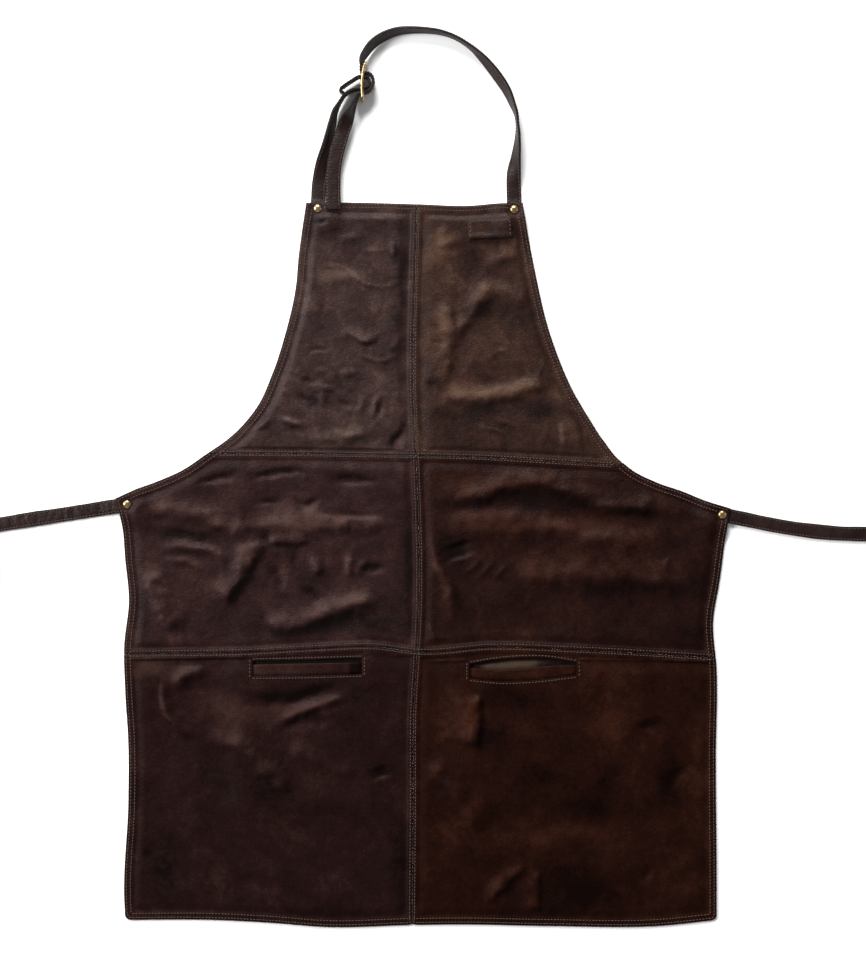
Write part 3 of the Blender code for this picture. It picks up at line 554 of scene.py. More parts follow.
def surface(panel, x, y):
    """Top of the leather of a panel at rest: its height, the thickness there and a tone, which carries colour
    and painted light and shade.
    """
    name, side = panel.split("_")
    x = np.asarray(x, float)
    y = np.asarray(y, float)
    rim = rim_distance(x, y)
    centre = np.abs(x - centre_x(y))
    upper = np.abs(y - upper_seam_y(x))
    lower = np.abs(y - lower_seam_y(x))
    seam = np.minimum(np.minimum(centre, upper), lower)
    hem = 1 - smooth((rim - HEM_WIDE + 0.0006) / 0.0012)
    thick = LEATHER + HEM_EXTRA * np.maximum(hem, 1 - smooth((seam - 0.0052) / 0.0012))
    high, near_centre, near_upper, near_lower, near_rim = PUFF[panel]
    free = smooth((centre - 0.0046) / (near_centre * MM)) * smooth((rim - HEM_WIDE) / (near_rim * MM))
    if name == "bib":
        free = free * smooth((upper - 0.0048) / (near_upper * MM))
    if name == "waist":
        free = free * smooth((upper - 0.0046) / (near_upper * MM))
        free = free * smooth((lower - 0.0046) / (near_lower * MM))
    if name == "skirt":
        free = free * smooth((lower - 0.0075) / (near_lower * MM))
    broad, sharp, fine = CRUMPLE[panel]
    seed = sum(ord(c) for c in panel)
    waves = noise(x, y, 0.055, seed) * 0.6 + noise(x, y, 0.024, seed + 3) * 0.4
    where = smooth(0.5 + 0.9 * noise(x, y, 0.05, seed + 5))
    lines = creases(x, y, 0.022, 0.10, seed + 7) * where
    thin = creases(x, y, 0.009, 0.14, seed + 11)
    thin = thin * (0.35 + 0.65 * smooth(0.5 + noise(x, y, 0.035, seed + 9)))
    small = noise(x, y, 0.0065, seed + 13) * 0.5 + noise(x, y, 0.0042, seed + 15) * 0.3
    folds = FOLD_SCALE[name] * fold_heights(x, y, FOLDS[panel])
    lift = rivet_lift(x, y) + pocket_lift(x, y)
    body = high * MM * (0.85 + 0.25 * waves) + folds
    body = body - sharp * MM * lines - 0.6 * fine * MM * thin + fine * MM * small
    body = body + broad * MM * waves
    pucker = np.exp(-(np.minimum(seam, np.abs(rim - 0.0046)) / 0.006) ** 2)
    gather = 0.16 * MM * noise(x, y, 0.0052, 201) + 0.14 * MM * noise(x, y, 0.011, 203)
    row = np.exp(-((rim - HEM_ROWS[0]) / 0.0009) ** 2) + np.exp(-((rim - HEM_ROWS[1]) / 0.0010) ** 2)
    row = row + np.exp(-((centre - CENTRE_ROWS[1]) / 0.0008) ** 2)
    top = thick + FLOOR_GAP + lift + free * body + pucker * gather - 0.16 * MM * row
    for points in ALLOWANCES[side]:
        line = curve_through([(px * MM, py * MM) for px, py in points], 0.005)
        close = (x > line[0, 0] - 0.01) & (x < line[-1, 0] + 0.01)
        close = close & (np.abs(y - line[:, 1].mean()) < 0.012)
        away, left, share = near_line(x[close], y[close], line)
        wide = np.where(left > 0, 0.0022, 0.0012)
        ends = smooth(share / 0.03) * smooth((1 - share) / 0.03)
        bumpy = 0.9 + 0.55 * noise(x[close], y[close], 0.007, 77)
        top[close] += bumpy * MM * ends * np.exp(-(away / wide) ** 2)
    under_rivet = np.zeros(x.shape)
    for rx, ry in RIVETS.values():
        away = np.hypot(x - rx, y - ry) - RIVET_CAP_R
        under_rivet = np.maximum(under_rivet, 1 - smooth(away / 0.006))
    top = top * (1 - under_rivet) + (ANCHOR_LIFT + LEATHER) * under_rivet
    top = np.maximum(top, thick + FLOOR_GAP)
    # the patches hold leather colour and also painted shade and painted sheen
    tone = 1.7 * patch_tones_and_shade(x, y, TONE_AND_SHADE_PATCHES[panel])
    # painted light and shade by slope: paler on slopes that face the north-west lights, darker on those facing
    # away
    tone = tone + painted_slope_light(x, y, name, FOLDS[panel]) * free
    tone = tone + 0.30 * noise(x, y, 0.045, seed + 21) + 0.22 * noise(x, y, 0.018, seed + 23)
    # painted shade darkens the creases; fold ridges are paler and valleys darker, partly pull-up colour and
    # partly painted light and shade
    tone = tone - 0.35 * (lines + 0.5 * thin) * free + 0.22 * np.clip(folds / MM, -2.5, 2.5)
    tone = tone + 0.25 * (1 - free) * (0.4 + noise(x, y, 0.012, 207))
    return top, thick, tone


# ---------------------------------------------------------------- meshes
def new_piece(name, verts, faces, material):
    mesh = bpy.data.meshes.new(name)
    mesh.from_pydata([tuple(v) for v in np.asarray(verts, float).tolist()], [], faces)
    mesh.validate()
    mesh.polygons.foreach_set("use_smooth", [True] * len(mesh.polygons))
    mesh.materials.append(material)
    obj = bpy.data.objects.new(name, mesh)
    bpy.context.scene.collection.objects.link(obj)
    return obj


def set_attribute(obj, name, values):
    layer = obj.data.attributes.new(name, "FLOAT", "POINT")
    layer.data.foreach_set("value", np.asarray(values, np.float32))


def mesh_normals_out(obj):
    bm = bmesh.new()
    bm.from_mesh(obj.data)
    bmesh.ops.recalc_face_normals(bm, faces=bm.faces)
    bm.to_mesh(obj.data)
    bm.free()


def tube_faces(rings, sides, closed=False):
    """Faces of a tube made of rings of points: a loop, or with a flat face at each end."""
    faces = []
    for i in range(rings if closed else rings - 1):
        a, b = i * sides, (i + 1) % rings * sides
        faces += [(a + k, a + (k + 1) % sides, b + (k + 1) % sides, b + k) for k in range(sides)]
    if not closed:
        last = (rings - 1) * sides
        faces += [tuple(range(sides - 1, -1, -1)), tuple(range(last, last + sides))]
    return faces


def all_cells(x):
    return np.ones((x.shape[0] - 1, x.shape[1] - 1), bool)


def cells_at(keep):
    """How many kept cells meet at each point of the grid."""
    ni, nj = keep.shape
    count = np.zeros((ni + 1, nj + 1), int)
    for di in (0, 1):
        for dj in (0, 1):
            count[di:ni + di, dj:nj + dj] += keep
    return count


def closed_grid(name, x, y, top, bottom, keep, material, tone=None):
    """Closed sheet over a grid of points; keep says which cells exist, so it may have a window."""
    count = cells_at(keep)
    used = count > 0
    inner = count == 4
    top_index = np.full(x.shape, -1)
    top_index[used] = np.arange(used.sum())
    low_index = top_index.copy()
    low_index[inner] = used.sum() + np.arange(inner.sum())
    middle = np.where(inner, top, (top + bottom) / 2)
    verts = np.concatenate([np.stack([x[used], y[used], middle[used]], axis=1),
                            np.stack([x[inner], y[inner], bottom[inner]], axis=1)])
    cells = np.argwhere(keep)
    i, j = cells[:, 0], cells[:, 1]
    corners = ((i, j), (i + 1, j), (i + 1, j + 1), (i, j + 1))
    above = np.stack([top_index[c] for c in corners], axis=1)
    below = np.stack([low_index[c] for c in reversed(corners)], axis=1)
    if x[-1, 0] < x[0, 0]:
        above, below = above[:, ::-1], below[:, ::-1]
    obj = new_piece(name, verts, np.concatenate([above, below]).tolist(), material)
    if tone is None:
        tone = np.zeros(x.shape)
    set_attribute(obj, "tone", np.concatenate([tone[used], tone[inner]]))
    set_attribute(obj, "flesh", np.concatenate([np.zeros(used.sum()), np.ones(inner.sum())]))
    return obj


# grid lines near an edge, where the leather's section turns round
EDGE_STEPS = np.array([0.0, 0.00012, 0.00040, 0.00085, 0.0015, 0.0024, 0.0034, 0.0045, 0.0056,
                       0.0067, 0.0079])


def graded(length):
    """Shares of a span: close together at its two edges, a cell apart between."""
    low = EDGE_STEPS[EDGE_STEPS < length * 0.45]
    high = length - low[::-1]
    count = max(1, int(math.ceil((high[0] - low[-1]) / CELL)))
    middle = np.linspace(low[-1], high[0], count + 1)[1:-1]
    return np.concatenate([low, middle, high]) / length


def lattice(x_lines, y_lines, x_guess, y_guess):
    """Grid between curves: x_lines give x for a y, y_lines give y for an x. Also each line's span."""
    def spread(guesses):
        lines = []
        for k, (start, end) in enumerate(zip(guesses, guesses[1:])):
            lines += [(k, share) for share in graded(abs(end - start))[min(k, 1):]]
        return lines

    cols = spread(x_guess)
    rows = spread(y_guess)
    x = np.array([[x_guess[k] + (x_guess[k + 1] - x_guess[k]) * share] * len(rows)
                  for k, share in cols])
    y = np.array([[y_guess[k] + (y_guess[k + 1] - y_guess[k]) * share
                   for k, share in rows]] * len(cols))
    for _ in range(4):
        lines = [line(x) for line in y_lines]
        y = np.stack([lines[k][:, j] * (1 - share) + lines[k + 1][:, j] * share
                      for j, (k, share) in enumerate(rows)], axis=1)
        lines = [line(y) for line in x_lines]
        x = np.stack([lines[k][i] * (1 - share) + lines[k + 1][i] * share
                      for i, (k, share) in enumerate(cols)], axis=0)
    return x, y, np.array([k for k, _ in cols]), np.array([k for k, _ in rows])


def edge_distance(x, y, keep):
    """Distance of each grid point to the nearest edge of the kept cells, measured along the grid."""
    count = cells_at(keep)
    edge = (count > 0) & (count < 4)
    near = np.where(edge, 0.0, 1.0)
    step_i = np.hypot(np.diff(x, axis=0), np.diff(y, axis=0))
    step_j = np.hypot(np.diff(x, axis=1), np.diff(y, axis=1))
    for _ in range(12):
        near[1:] = np.minimum(near[1:], near[:-1] + step_i)
        near[:-1] = np.minimum(near[:-1], near[1:] + step_i)
        near[:, 1:] = np.minimum(near[:, 1:], near[:, :-1] + step_j)
        near[:, :-1] = np.minimum(near[:, :-1], near[:, 1:] + step_j)
    return near


def rounded_sheet(name, x, y, top, thick, keep, material, tone=None, lowest=FLOOR_GAP):
    """Sheet with rounded edges."""
    away = edge_distance(x, y, keep)
    r = thick / 2
    inset = r - np.sqrt(np.maximum(r * r - (r - np.clip(away, 0, r)) ** 2, 0.0))
    bottom = np.maximum(top - thick, lowest)
    under = bottom + np.minimum(inset, (top - bottom) / 2)
    return closed_grid(name, x, y, top - inset, under, keep, material, tone)


# across a strap's face: share of the half width, and tenths of the half thickness it stands proud
STRAP_FACE = ((0.80, -0.4), (0.75, -1.2), (0.70, -0.2), (0.35, 0.6), (0.0, 0.8), (-0.35, 0.6),
              (-0.70, -0.2), (-0.75, -1.2), (-0.80, -0.4))


def strap_section(half_wide, half_thick, r):
    """Section of a strap: rounded edges, a line between the plies, a groove along each row."""
    section = []
    for sx, sz, start in ((1, -1, -90), (1, 1, 0), (-1, 1, 90), (-1, -1, 180)):
        for turn in (0, 30, 60, 90):
            a = math.radians(start + turn)
            section.append((sx * (half_wide - r) + r * math.cos(a),
                            sz * (half_thick - r) + r * math.sin(a)))
        if start in (0, 180):
            section += [(sx * half_wide * share, sz * half_thick * (1 + 0.10 * proud))
                        for share, proud in STRAP_FACE]
        else:
            section.append((sx * (half_wide - 0.12 * half_thick), 0.0))
    return np.array(section)


def ribbon(name, stations, material, half_wide, half_thick):
    """Strap along stations: centres, normals, directions across, and if given how wide it swells."""
    r = 0.45 * half_thick
    section = strap_section(half_wide, half_thick, r)
    centre, normal, across = stations[:3]
    n = len(centre)
    swell = stations[3] if len(stations) > 3 else np.ones(n)
    along = unit(np.gradient(centre, axis=0))

    def ring(i, narrow=1.0, thin=1.0, out=0.0):
        return (centre[i] + across[i] * (section[:, 0:1] * narrow * swell[i])
                + normal[i] * (section[:, 1:2] * thin) + along[i] * out * r)

    rings = [ring(0, 0.9375, 0.75, -0.9), ring(0, 0.985, 0.94, -0.5)]
    rings += [ring(i) for i in range(n)]
    rings += [ring(n - 1, 0.985, 0.94, 0.5), ring(n - 1, 0.9375, 0.75, 0.9)]
    points = np.concatenate(rings)
    obj = new_piece(name, points, tube_faces(len(rings), len(section)), material)
    mesh_normals_out(obj)
    tone = np.where(np.abs(section[:, 0]) / half_wide > 0.97, -0.9, 0.0)
    set_attribute(obj, "tone", np.tile(tone, len(rings)))
    set_attribute(obj, "flesh", np.zeros(len(points)))
    return obj


def stamp(name, template, faces, frames, material):
    """Copies of a small shape, one at each (origin, x axis, y axis, z axis)."""
    origin, ax, ay, az = frames
    verts = (origin[:, None, :] + ax[:, None, :] * template[None, :, 0:1]
             + ay[:, None, :] * template[None, :, 1:2] + az[:, None, :] * template[None, :, 2:3])
    m = len(template)
    all_faces = []
    for k in range(len(origin)):
        all_faces += [tuple(i + k * m for i in face) for face in faces]
    return new_piece(name, verts.reshape(-1, 3), all_faces, material)


def stitch_shape():
    """One thread stitch: it rises out of the leather, runs along and dips back in."""
    sides = 6
    rings = [(-0.5, 0.35, -0.75), (-0.42, 0.85, -0.15), (-0.22, 1.0, 0.55), (0.0, 1.05, 0.75),
             (0.22, 1.0, 0.55), (0.42, 0.85, -0.15), (0.5, 0.35, -0.75)]
    verts = []
    for along, size, rise in rings:
        for k in range(sides):
            a = 2 * math.pi * k / sides
            verts.append((along * STITCH_LONG, math.cos(a) * STITCH_R * size,
                          rise * STITCH_R * 0.75 + math.sin(a) * STITCH_R * size * 0.85))
    faces = tube_faces(len(rings), sides)
    return np.array(verts), [tuple(reversed(face)) for face in faces]


def hole_shape():
    """Needle hole between two stitches: a flat lens pressed into the leather, whose dark colour is painted
    shade in the hole.
    """
    sides = 6
    turns = [2 * math.pi * k / sides for k in range(sides)]
    verts = [(math.cos(a) * HOLE_R, math.sin(a) * HOLE_R, 0.0) for a in turns]
    verts += [(0, 0, 0.00014), (0, 0, -0.0003)]
    faces = []
    for k in range(sides):
        k2 = (k + 1) % sides
        faces.append((k, k2, sides))
        faces.append((k2, k, sides + 1))
    return np.array(verts), faces


def frames_along(points, normals, pitch, seed):
    """Even places along a 3-D line, with axes: along it, across it and out of the surface."""
    knots = travelled(points)
    count = max(1, int(knots[-1] / pitch))
    at = (np.arange(count) + 0.5) * knots[-1] / count
    rng = np.random.default_rng(seed)
    at = at + rng.normal(0, 0.00012, count)
    origin = np.stack([np.interp(at, knots, points[:, k]) for k in range(3)], axis=1)
    normal = np.stack([np.interp(at, knots, normals[:, k]) for k in range(3)], axis=1)
    normal = unit(normal)
    ahead = np.stack([np.interp(at + 0.0008, knots, points[:, k]) for k in range(3)], axis=1)
    behind = np.stack([np.interp(at - 0.0008, knots, points[:, k]) for k in range(3)], axis=1)
    along = ahead - behind
    along -= normal * (along * normal).sum(1)[:, None]
    along = unit(along)
    across = np.cross(normal, along)
    lean = rng.normal(0, 0.07, count)[:, None]
    tilted = along * np.cos(lean) + across * np.sin(lean)
    across = np.cross(normal, tilted)
    return origin, tilted, across, normal


def joined(parts):
    return tuple(np.concatenate([part[k] for part in parts]) for k in range(4))


def sew(name, runs, seed):
    """Threads and needle holes along each (points, normals) run, as two pieces."""
    threads = joined([frames_along(p, n, STITCH_PITCH, seed + k) for k, (p, n) in enumerate(runs)])
    shape, faces = stitch_shape()
    sewn = stamp(name, shape, faces, threads, THREAD)
    origin, ax, ay, az = threads
    shape, faces = hole_shape()
    holes = stamp(name + "_holes", shape, faces, (origin + ax * STITCH_PITCH / 2, ax, ay, az), HOLE)
    return [sewn, holes]


def on_panel(panel, line):
    """A flat line laid on a panel: its points in space and the surface's normals."""
    line = even_line(line, 0.0011)
    x, y = line[:, 0], line[:, 1]
    e = 0.0007      # half the stretch over which the slope is taken
    top = surface(panel, x, y)[0]
    slope_x = (surface(panel, x + e, y)[0] - surface(panel, x - e, y)[0]) / (2 * e)
    slope_y = (surface(panel, x, y + e)[0] - surface(panel, x, y - e)[0]) / (2 * e)
    normal = np.stack([-slope_x, -slope_y, np.ones(len(x))], axis=1)
    normal = unit(normal)
    return np.stack([x, y, top], axis=1), normal


# ---------------------------------------------------------------- materials
class Nodes:
    """Small helper to wire a material's nodes."""

    def __init__(self, name):
        self.material = bpy.data.materials.new(name)
        self.material.use_nodes = True
        self.tree = self.material.node_tree
        self.shader = self.tree.nodes["Principled BSDF"]
        self.coords = self.tree.nodes.new("ShaderNodeTexCoord").outputs["Object"]

    def feed(self, socket, value):
        """Links the socket to another node's, or sets a plain value on it."""
        if isinstance(value, bpy.types.NodeSocket):
            self.tree.links.new(value, socket)
        else:
            socket.default_value = value

    def add(self, kind, inputs=None, **settings):
        node = self.tree.nodes.new(kind)
        for key, value in settings.items():
            setattr(node, key, value)
        for key, value in (inputs or {}).items():
            self.feed(node.inputs[key], value)
        return node

    def placed(self, stretch):
        if stretch is None:
            return self.coords
        return self.add("ShaderNodeMapping", {"Vector": self.coords, "Scale": stretch}).outputs[0]

    def noise(self, scale, detail=3.0, rough=0.55, stretch=None, distortion=0.0):
        inputs = {"Vector": self.placed(stretch), "Scale": scale, "Detail": detail,
                  "Roughness": rough, "Distortion": distortion}
        return self.add("ShaderNodeTexNoise", inputs).outputs["Fac"]

    def cells(self, scale, feature, stretch=None):
        inputs = {"Vector": self.placed(stretch), "Scale": scale}
        return self.add("ShaderNodeTexVoronoi", inputs, feature=feature).outputs["Distance"]

    def math(self, operation, *values):
        return self.add("ShaderNodeMath", dict(enumerate(values)), operation=operation).outputs[0]

    def attribute(self, name):
        return self.add("ShaderNodeAttribute", attribute_name=name).outputs["Fac"]

    def ramp(self, value, stops):
        node = self.add("ShaderNodeValToRGB", {"Fac": value})
        ramp = node.color_ramp
        while len(ramp.elements) < len(stops):
            ramp.elements.new(0.5)
        for element, (place, colour) in zip(ramp.elements, stops):
            element.position = place
            element.color = (*colour, 1.0)
        return node.outputs["Color"]

    def mix(self, share, a, b):
        return self.add("ShaderNodeMix", {0: share, 6: a, 7: b}, data_type="RGBA").outputs[2]

    def bump(self, heights):
        """Bumps from (height, distance in metres, strength), one after the other."""
        normal = None
        for height, distance, strength in heights:
            inputs = {"Height": height, "Distance": distance, "Strength": strength}
            if normal is not None:
                inputs["Normal"] = normal
            normal = self.add("ShaderNodeBump", inputs).outputs["Normal"]
        self.tree.links.new(normal, self.shader.inputs["Normal"])

    def set(self, **values):
        for key, value in values.items():
            self.feed(self.shader.inputs[key.replace("_", " ")], value)


def leather(name, mid, gloss, shine, grain=1.0, mottle=1.0, flesh=(0.080, 0.046, 0.030)):
    """Waxed pull-up leather: mottled, paler where it is stretched, with painted light and shade carried in the
    tone attribute, fine pebbled grain.
    """
    n = Nodes(name)
    dark = (0.30 * mid[0], 0.27 * mid[1], 0.27 * mid[2])
    light = (2.6 * mid[0], 3.3 * mid[1], 2.9 * mid[2])
    tone = n.attribute("tone")
    blotch = n.noise(34.0, 4.0, 0.6, distortion=0.6)
    speck = n.noise(160.0, 4.0, 0.65)
    grit = n.noise(900.0, 2.0, 0.5)
    value = n.math("MULTIPLY_ADD", blotch, 0.95 * mottle, 0.475 * (1 - mottle) - 0.02)
    value = n.math("MULTIPLY_ADD", speck, 0.40, n.math("ADD", value, -0.20))
    value = n.math("MULTIPLY_ADD", grit, 0.16, n.math("ADD", value, -0.08))
    # the tone attribute brings the panels' painted light and shade into the colour
    value = n.math("MULTIPLY_ADD", tone, 0.30, value)
    wrinkle = n.cells(230.0, "DISTANCE_TO_EDGE", stretch=(1.0, 1.45, 1.0))
    wrinkle = n.math("MINIMUM", n.math("MULTIPLY", wrinkle, 5.0), 1.0)
    # painted shade: the fine creases of the grain are darker
    value = n.math("MULTIPLY_ADD", wrinkle, 0.10, n.math("ADD", value, -0.07))
    colour = n.ramp(value, [(0.12, dark), (0.50, mid), (0.92, light)])
    suede = n.ramp(n.noise(420.0, 3.0), [(0.3, tuple(0.7 * c for c in flesh)), (0.7, flesh)])
    under = n.attribute("flesh")
    colour = n.mix(under, colour, suede)
    rough = n.math("MULTIPLY_ADD", n.noise(70.0, 3.0), 0.22, gloss - 0.11)
    rough = n.math("MULTIPLY_ADD", speck, 0.10, n.math("ADD", rough, -0.05))
    rough = n.math("MAXIMUM", rough, n.math("MULTIPLY", under, 0.92))
    pebble = n.cells(760.0, "SMOOTH_F1")
    n.bump([(n.noise(45.0, 4.0, 0.6), 0.0018, 0.25), (wrinkle, 0.00030, 0.42 * grain),
            (n.noise(150.0, 3.0, 0.6, stretch=(1.0, 1.8, 1.0)), 0.0010, 0.33 * grain),
            (n.noise(420.0, 3.0, 0.6), 0.0005, 0.34 * grain), (pebble, 0.00025, 0.40 * grain)])
    n.set(Base_Color=colour, Roughness=rough, Specular_IOR_Level=shine, IOR=1.46)
    return n.material


def thread_material():
    n = Nodes("waxed_thread")
    twist = n.noise(1500.0, 2.0)
    colour = n.ramp(n.noise(260.0, 3.0), [(0.25, (0.022, 0.009, 0.006)), (0.55, (0.046, 0.021, 0.013)),
                                          (0.85, (0.090, 0.046, 0.028))])
    n.bump([(twist, 0.0002, 0.6)])
    n.set(Base_Color=colour, Roughness=n.math("MULTIPLY_ADD", twist, 0.2, 0.48))
    return n.material


def hole_material():
    n = Nodes("needle_hole_shade")
    # near black: painted shade inside the needle hole
    colour = n.ramp(n.noise(500.0, 2.0), [(0.3, (0.0015, 0.0009, 0.0008)), (0.7, (0.005, 0.003, 0.0025))])
    n.set(Base_Color=colour, Roughness=0.8, Specular_IOR_Level=0.1)
    return n.material


def brass_material():
    n = Nodes("antique_brass")
    wear = n.noise(330.0, 4.0, 0.6)
    colour = n.ramp(wear, [(0.25, (0.16, 0.10, 0.045)), (0.55, (0.42, 0.30, 0.15)),
                           (0.85, (0.66, 0.52, 0.31))])
    n.bump([(n.noise(1400.0, 3.0), 0.0001, 0.5), (n.noise(260.0, 2.0), 0.0004, 0.3)])
    n.set(Base_Color=colour, Metallic=1.0, Roughness=n.math("MULTIPLY_ADD", wear, -0.18, 0.38))
    return n.material


def cloth_material():
    n = Nodes("cotton_lining")
    warp, weft = (n.add("ShaderNodeTexWave", {"Vector": n.coords, "Scale": 340.0, "Distortion": 0.5},
                        wave_type="BANDS", bands_direction=way).outputs["Fac"] for way in "XY")
    weave = n.math("MULTIPLY", warp, weft)
    colour = n.ramp(n.math("MULTIPLY_ADD", weave, 0.3, n.noise(60.0, 3.0)),
                    [(0.3, (0.060, 0.036, 0.022)), (0.8, (0.130, 0.082, 0.052))])
    n.bump([(weave, 0.0003, 0.7)])
    n.set(Base_Color=colour, Roughness=0.85, Specular_IOR_Level=0.2)
    return n.material


def floor_material():
    n = Nodes("pale_floor")
    colour = n.ramp(n.noise(3.0, 3.0), [(0.3, (0.88, 0.88, 0.88)), (0.7, (0.91, 0.91, 0.91))])
    n.set(Base_Color=colour, Roughness=0.75, Specular_IOR_Level=0.2)
    return n.material


BIB_LEFT = leather("leather_bib_left", (0.0225, 0.0108, 0.0094), 0.47, 0.11)
BIB_RIGHT = leather("leather_bib_right", (0.0205, 0.0082, 0.0055), 0.46, 0.11)
WAIST_LEFT = leather("leather_waist_left", (0.0150, 0.0056, 0.0051), 0.48, 0.08, mottle=0.8)
WAIST_RIGHT = leather("leather_waist_right", (0.0100, 0.0027, 0.0018), 0.48, 0.06, mottle=0.8)
SKIRT_LEFT = leather("leather_skirt_left", (0.0102, 0.0035, 0.0031), 0.45, 0.05, 0.7, 0.6)
SKIRT_RIGHT = leather("leather_skirt_right", (0.0100, 0.0025, 0.0014), 0.46, 0.04, 0.7, 0.7)
STRAP = leather("leather_strap", (0.0100, 0.0034, 0.0024), 0.48, 0.20, flesh=(0.030, 0.016, 0.011))
FACING = leather("leather_facing", (0.0105, 0.0046, 0.0028), 0.60, 0.10)
THREAD = thread_material()
HOLE = hole_material()
BRASS = brass_material()
CLOTH = cloth_material()

# ---------------------------------------------------------------- camera, floor and light
camera_data = bpy.data.cameras.new("camera")
camera_data.lens = 100.0
camera_data.sensor_width = 36.0
camera = bpy.data.objects.new("camera", camera_data)
camera.location = (0.0099, -0.0018, 2.773)
bpy.context.scene.collection.objects.link(camera)
bpy.context.scene.camera = camera

FLOOR_HALF = 30
corners = [(-FLOOR_HALF, -FLOOR_HALF, 0), (FLOOR_HALF, -FLOOR_HALF, 0),
           (FLOOR_HALF, FLOOR_HALF, 0), (-FLOOR_HALF, FLOOR_HALF, 0)]
floor = new_piece("floor", corners, [(0, 1, 2, 3)], floor_material())
floor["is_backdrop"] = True


def softbox(name, place, size, watts):
    """Soft light aimed at the middle of the apron."""
    light = bpy.data.lights.new(name, "AREA")
    light.shape = "RECTANGLE"
    light.size, light.size_y = size
    light.energy = watts
    obj = bpy.data.objects.new(name, light)
    obj.location = place
    obj.rotation_euler = (-Vector(place)).to_track_quat("-Z", "Y").to_euler()
    bpy.context.scene.collection.objects.link(obj)


softbox("key_west", (-2.9, 0.7, 2.2), (1.5, 1.1), 170)
softbox("key_north", (-0.5, 3.0, 2.1), (1.5, 1.1), 210)
softbox("side", (3.0, 0.2, 2.0), (1.8, 1.8), 8)
softbox("front", (-0.6, -3.2, 2.2), (2.4, 1.4), 8)
world = bpy.data.worlds.new("studio")
world.use_nodes = True
background = world.node_tree.nodes["Background"]
background.inputs["Color"].default_value = (1.0, 1.0, 1.0, 1.0)
background.inputs["Strength"].default_value = 0.28
bpy.context.scene.world = world
bpy.context.scene.view_settings.view_transform = "Standard"

# ---------------------------------------------------------------- waist ties
TIE_LEFT = [(-0.3000, -0.0258, .0013, 0), (-0.3078, -0.0270, .0013, 0), (-0.3180, -0.0287, .0012, 0),
            (-0.3300, -0.0306, .0002, 0), (-0.3600, -0.0354, .0002, 0), (-0.4000, -0.0415, .0002, 0),
            (-0.4404, -0.0479, .0003, 0), (-0.4540, -0.0500, .0003, 0), (-0.4600, -0.0509, .0004, -20),
            (-0.4720, -0.0526, .0006, -55), (-0.4840, -0.0540, .0014, -86), (-0.4940, -0.0549, .0018, -90)]
TIE_RIGHT = [(0.3025, -0.0364, .0013, 0), (0.3103, -0.0378, .0013, 0), (0.3204, -0.0398, .0012, 0),
             (0.3330, -0.0424, .0002, 0), (0.3600, -0.0480, .0002, 0), (0.3900, -0.0530, .0002, 0),
             (0.4300, -0.0571, .0002, 0), (0.4602, -0.0579, .0003, 0), (0.4720, -0.0579, .0004, 20),
             (0.4840, -0.0579, .0006, 55), (0.4960, -0.0578, .0014, 86), (0.5060, -0.0576, .0018, 90)]
ROLL_R = 0.0420             # outer turn of the roll
ROLL_END_R = 0.0185         # inner end of the roll
ROLL_PITCH = 0.0055         # from one turn to the next
ROLL_Z = 0.0093
ROLL_STEPS = 110            # points on a turn
TIE_ROW = 0.0056            # stitch rows from the middle of a tie
STRAP_ROW = 0.0057
LOWEST_STRAP = 0.0002


def half_height(tilt):
    """Height of a tilted strap's middle above its lowest edge."""
    turn = np.radians(tilt)
    return STRAP_WIDTH / 2 * np.abs(np.sin(turn)) + STRAP_THICK / 2 * np.cos(turn)


def strap_rows(points, step):
    """Smooth (x, y, z, tilt) rows along a strap's route."""
    rows = np.array(points, float)
    knots = travelled(rows[:, :2])
    at = np.linspace(0, knots[-1], int(knots[-1] / step) + 2)
    out = hermite(knots, rows, at)
    z = np.maximum(out[:, 2], LOWEST_STRAP) + half_height(out[:, 3])
    return np.stack([out[:, 0], out[:, 1], z, out[:, 3]], axis=1)


def strap_stations(rows):
    """Centres, normals and directions across of a strap, from its rows."""
    centre = rows[:, :3]
    along = np.gradient(centre, axis=0)
    along = unit(along)
    left = np.cross(np.array([0, 0, 1.0]), along)
    left = unit(left)
    over = np.cross(along, left)
    tilt = np.radians(rows[:, 3])[:, None]
    normal = over * np.cos(tilt) + left * np.sin(tilt)
    return centre, normal, np.cross(normal, along)


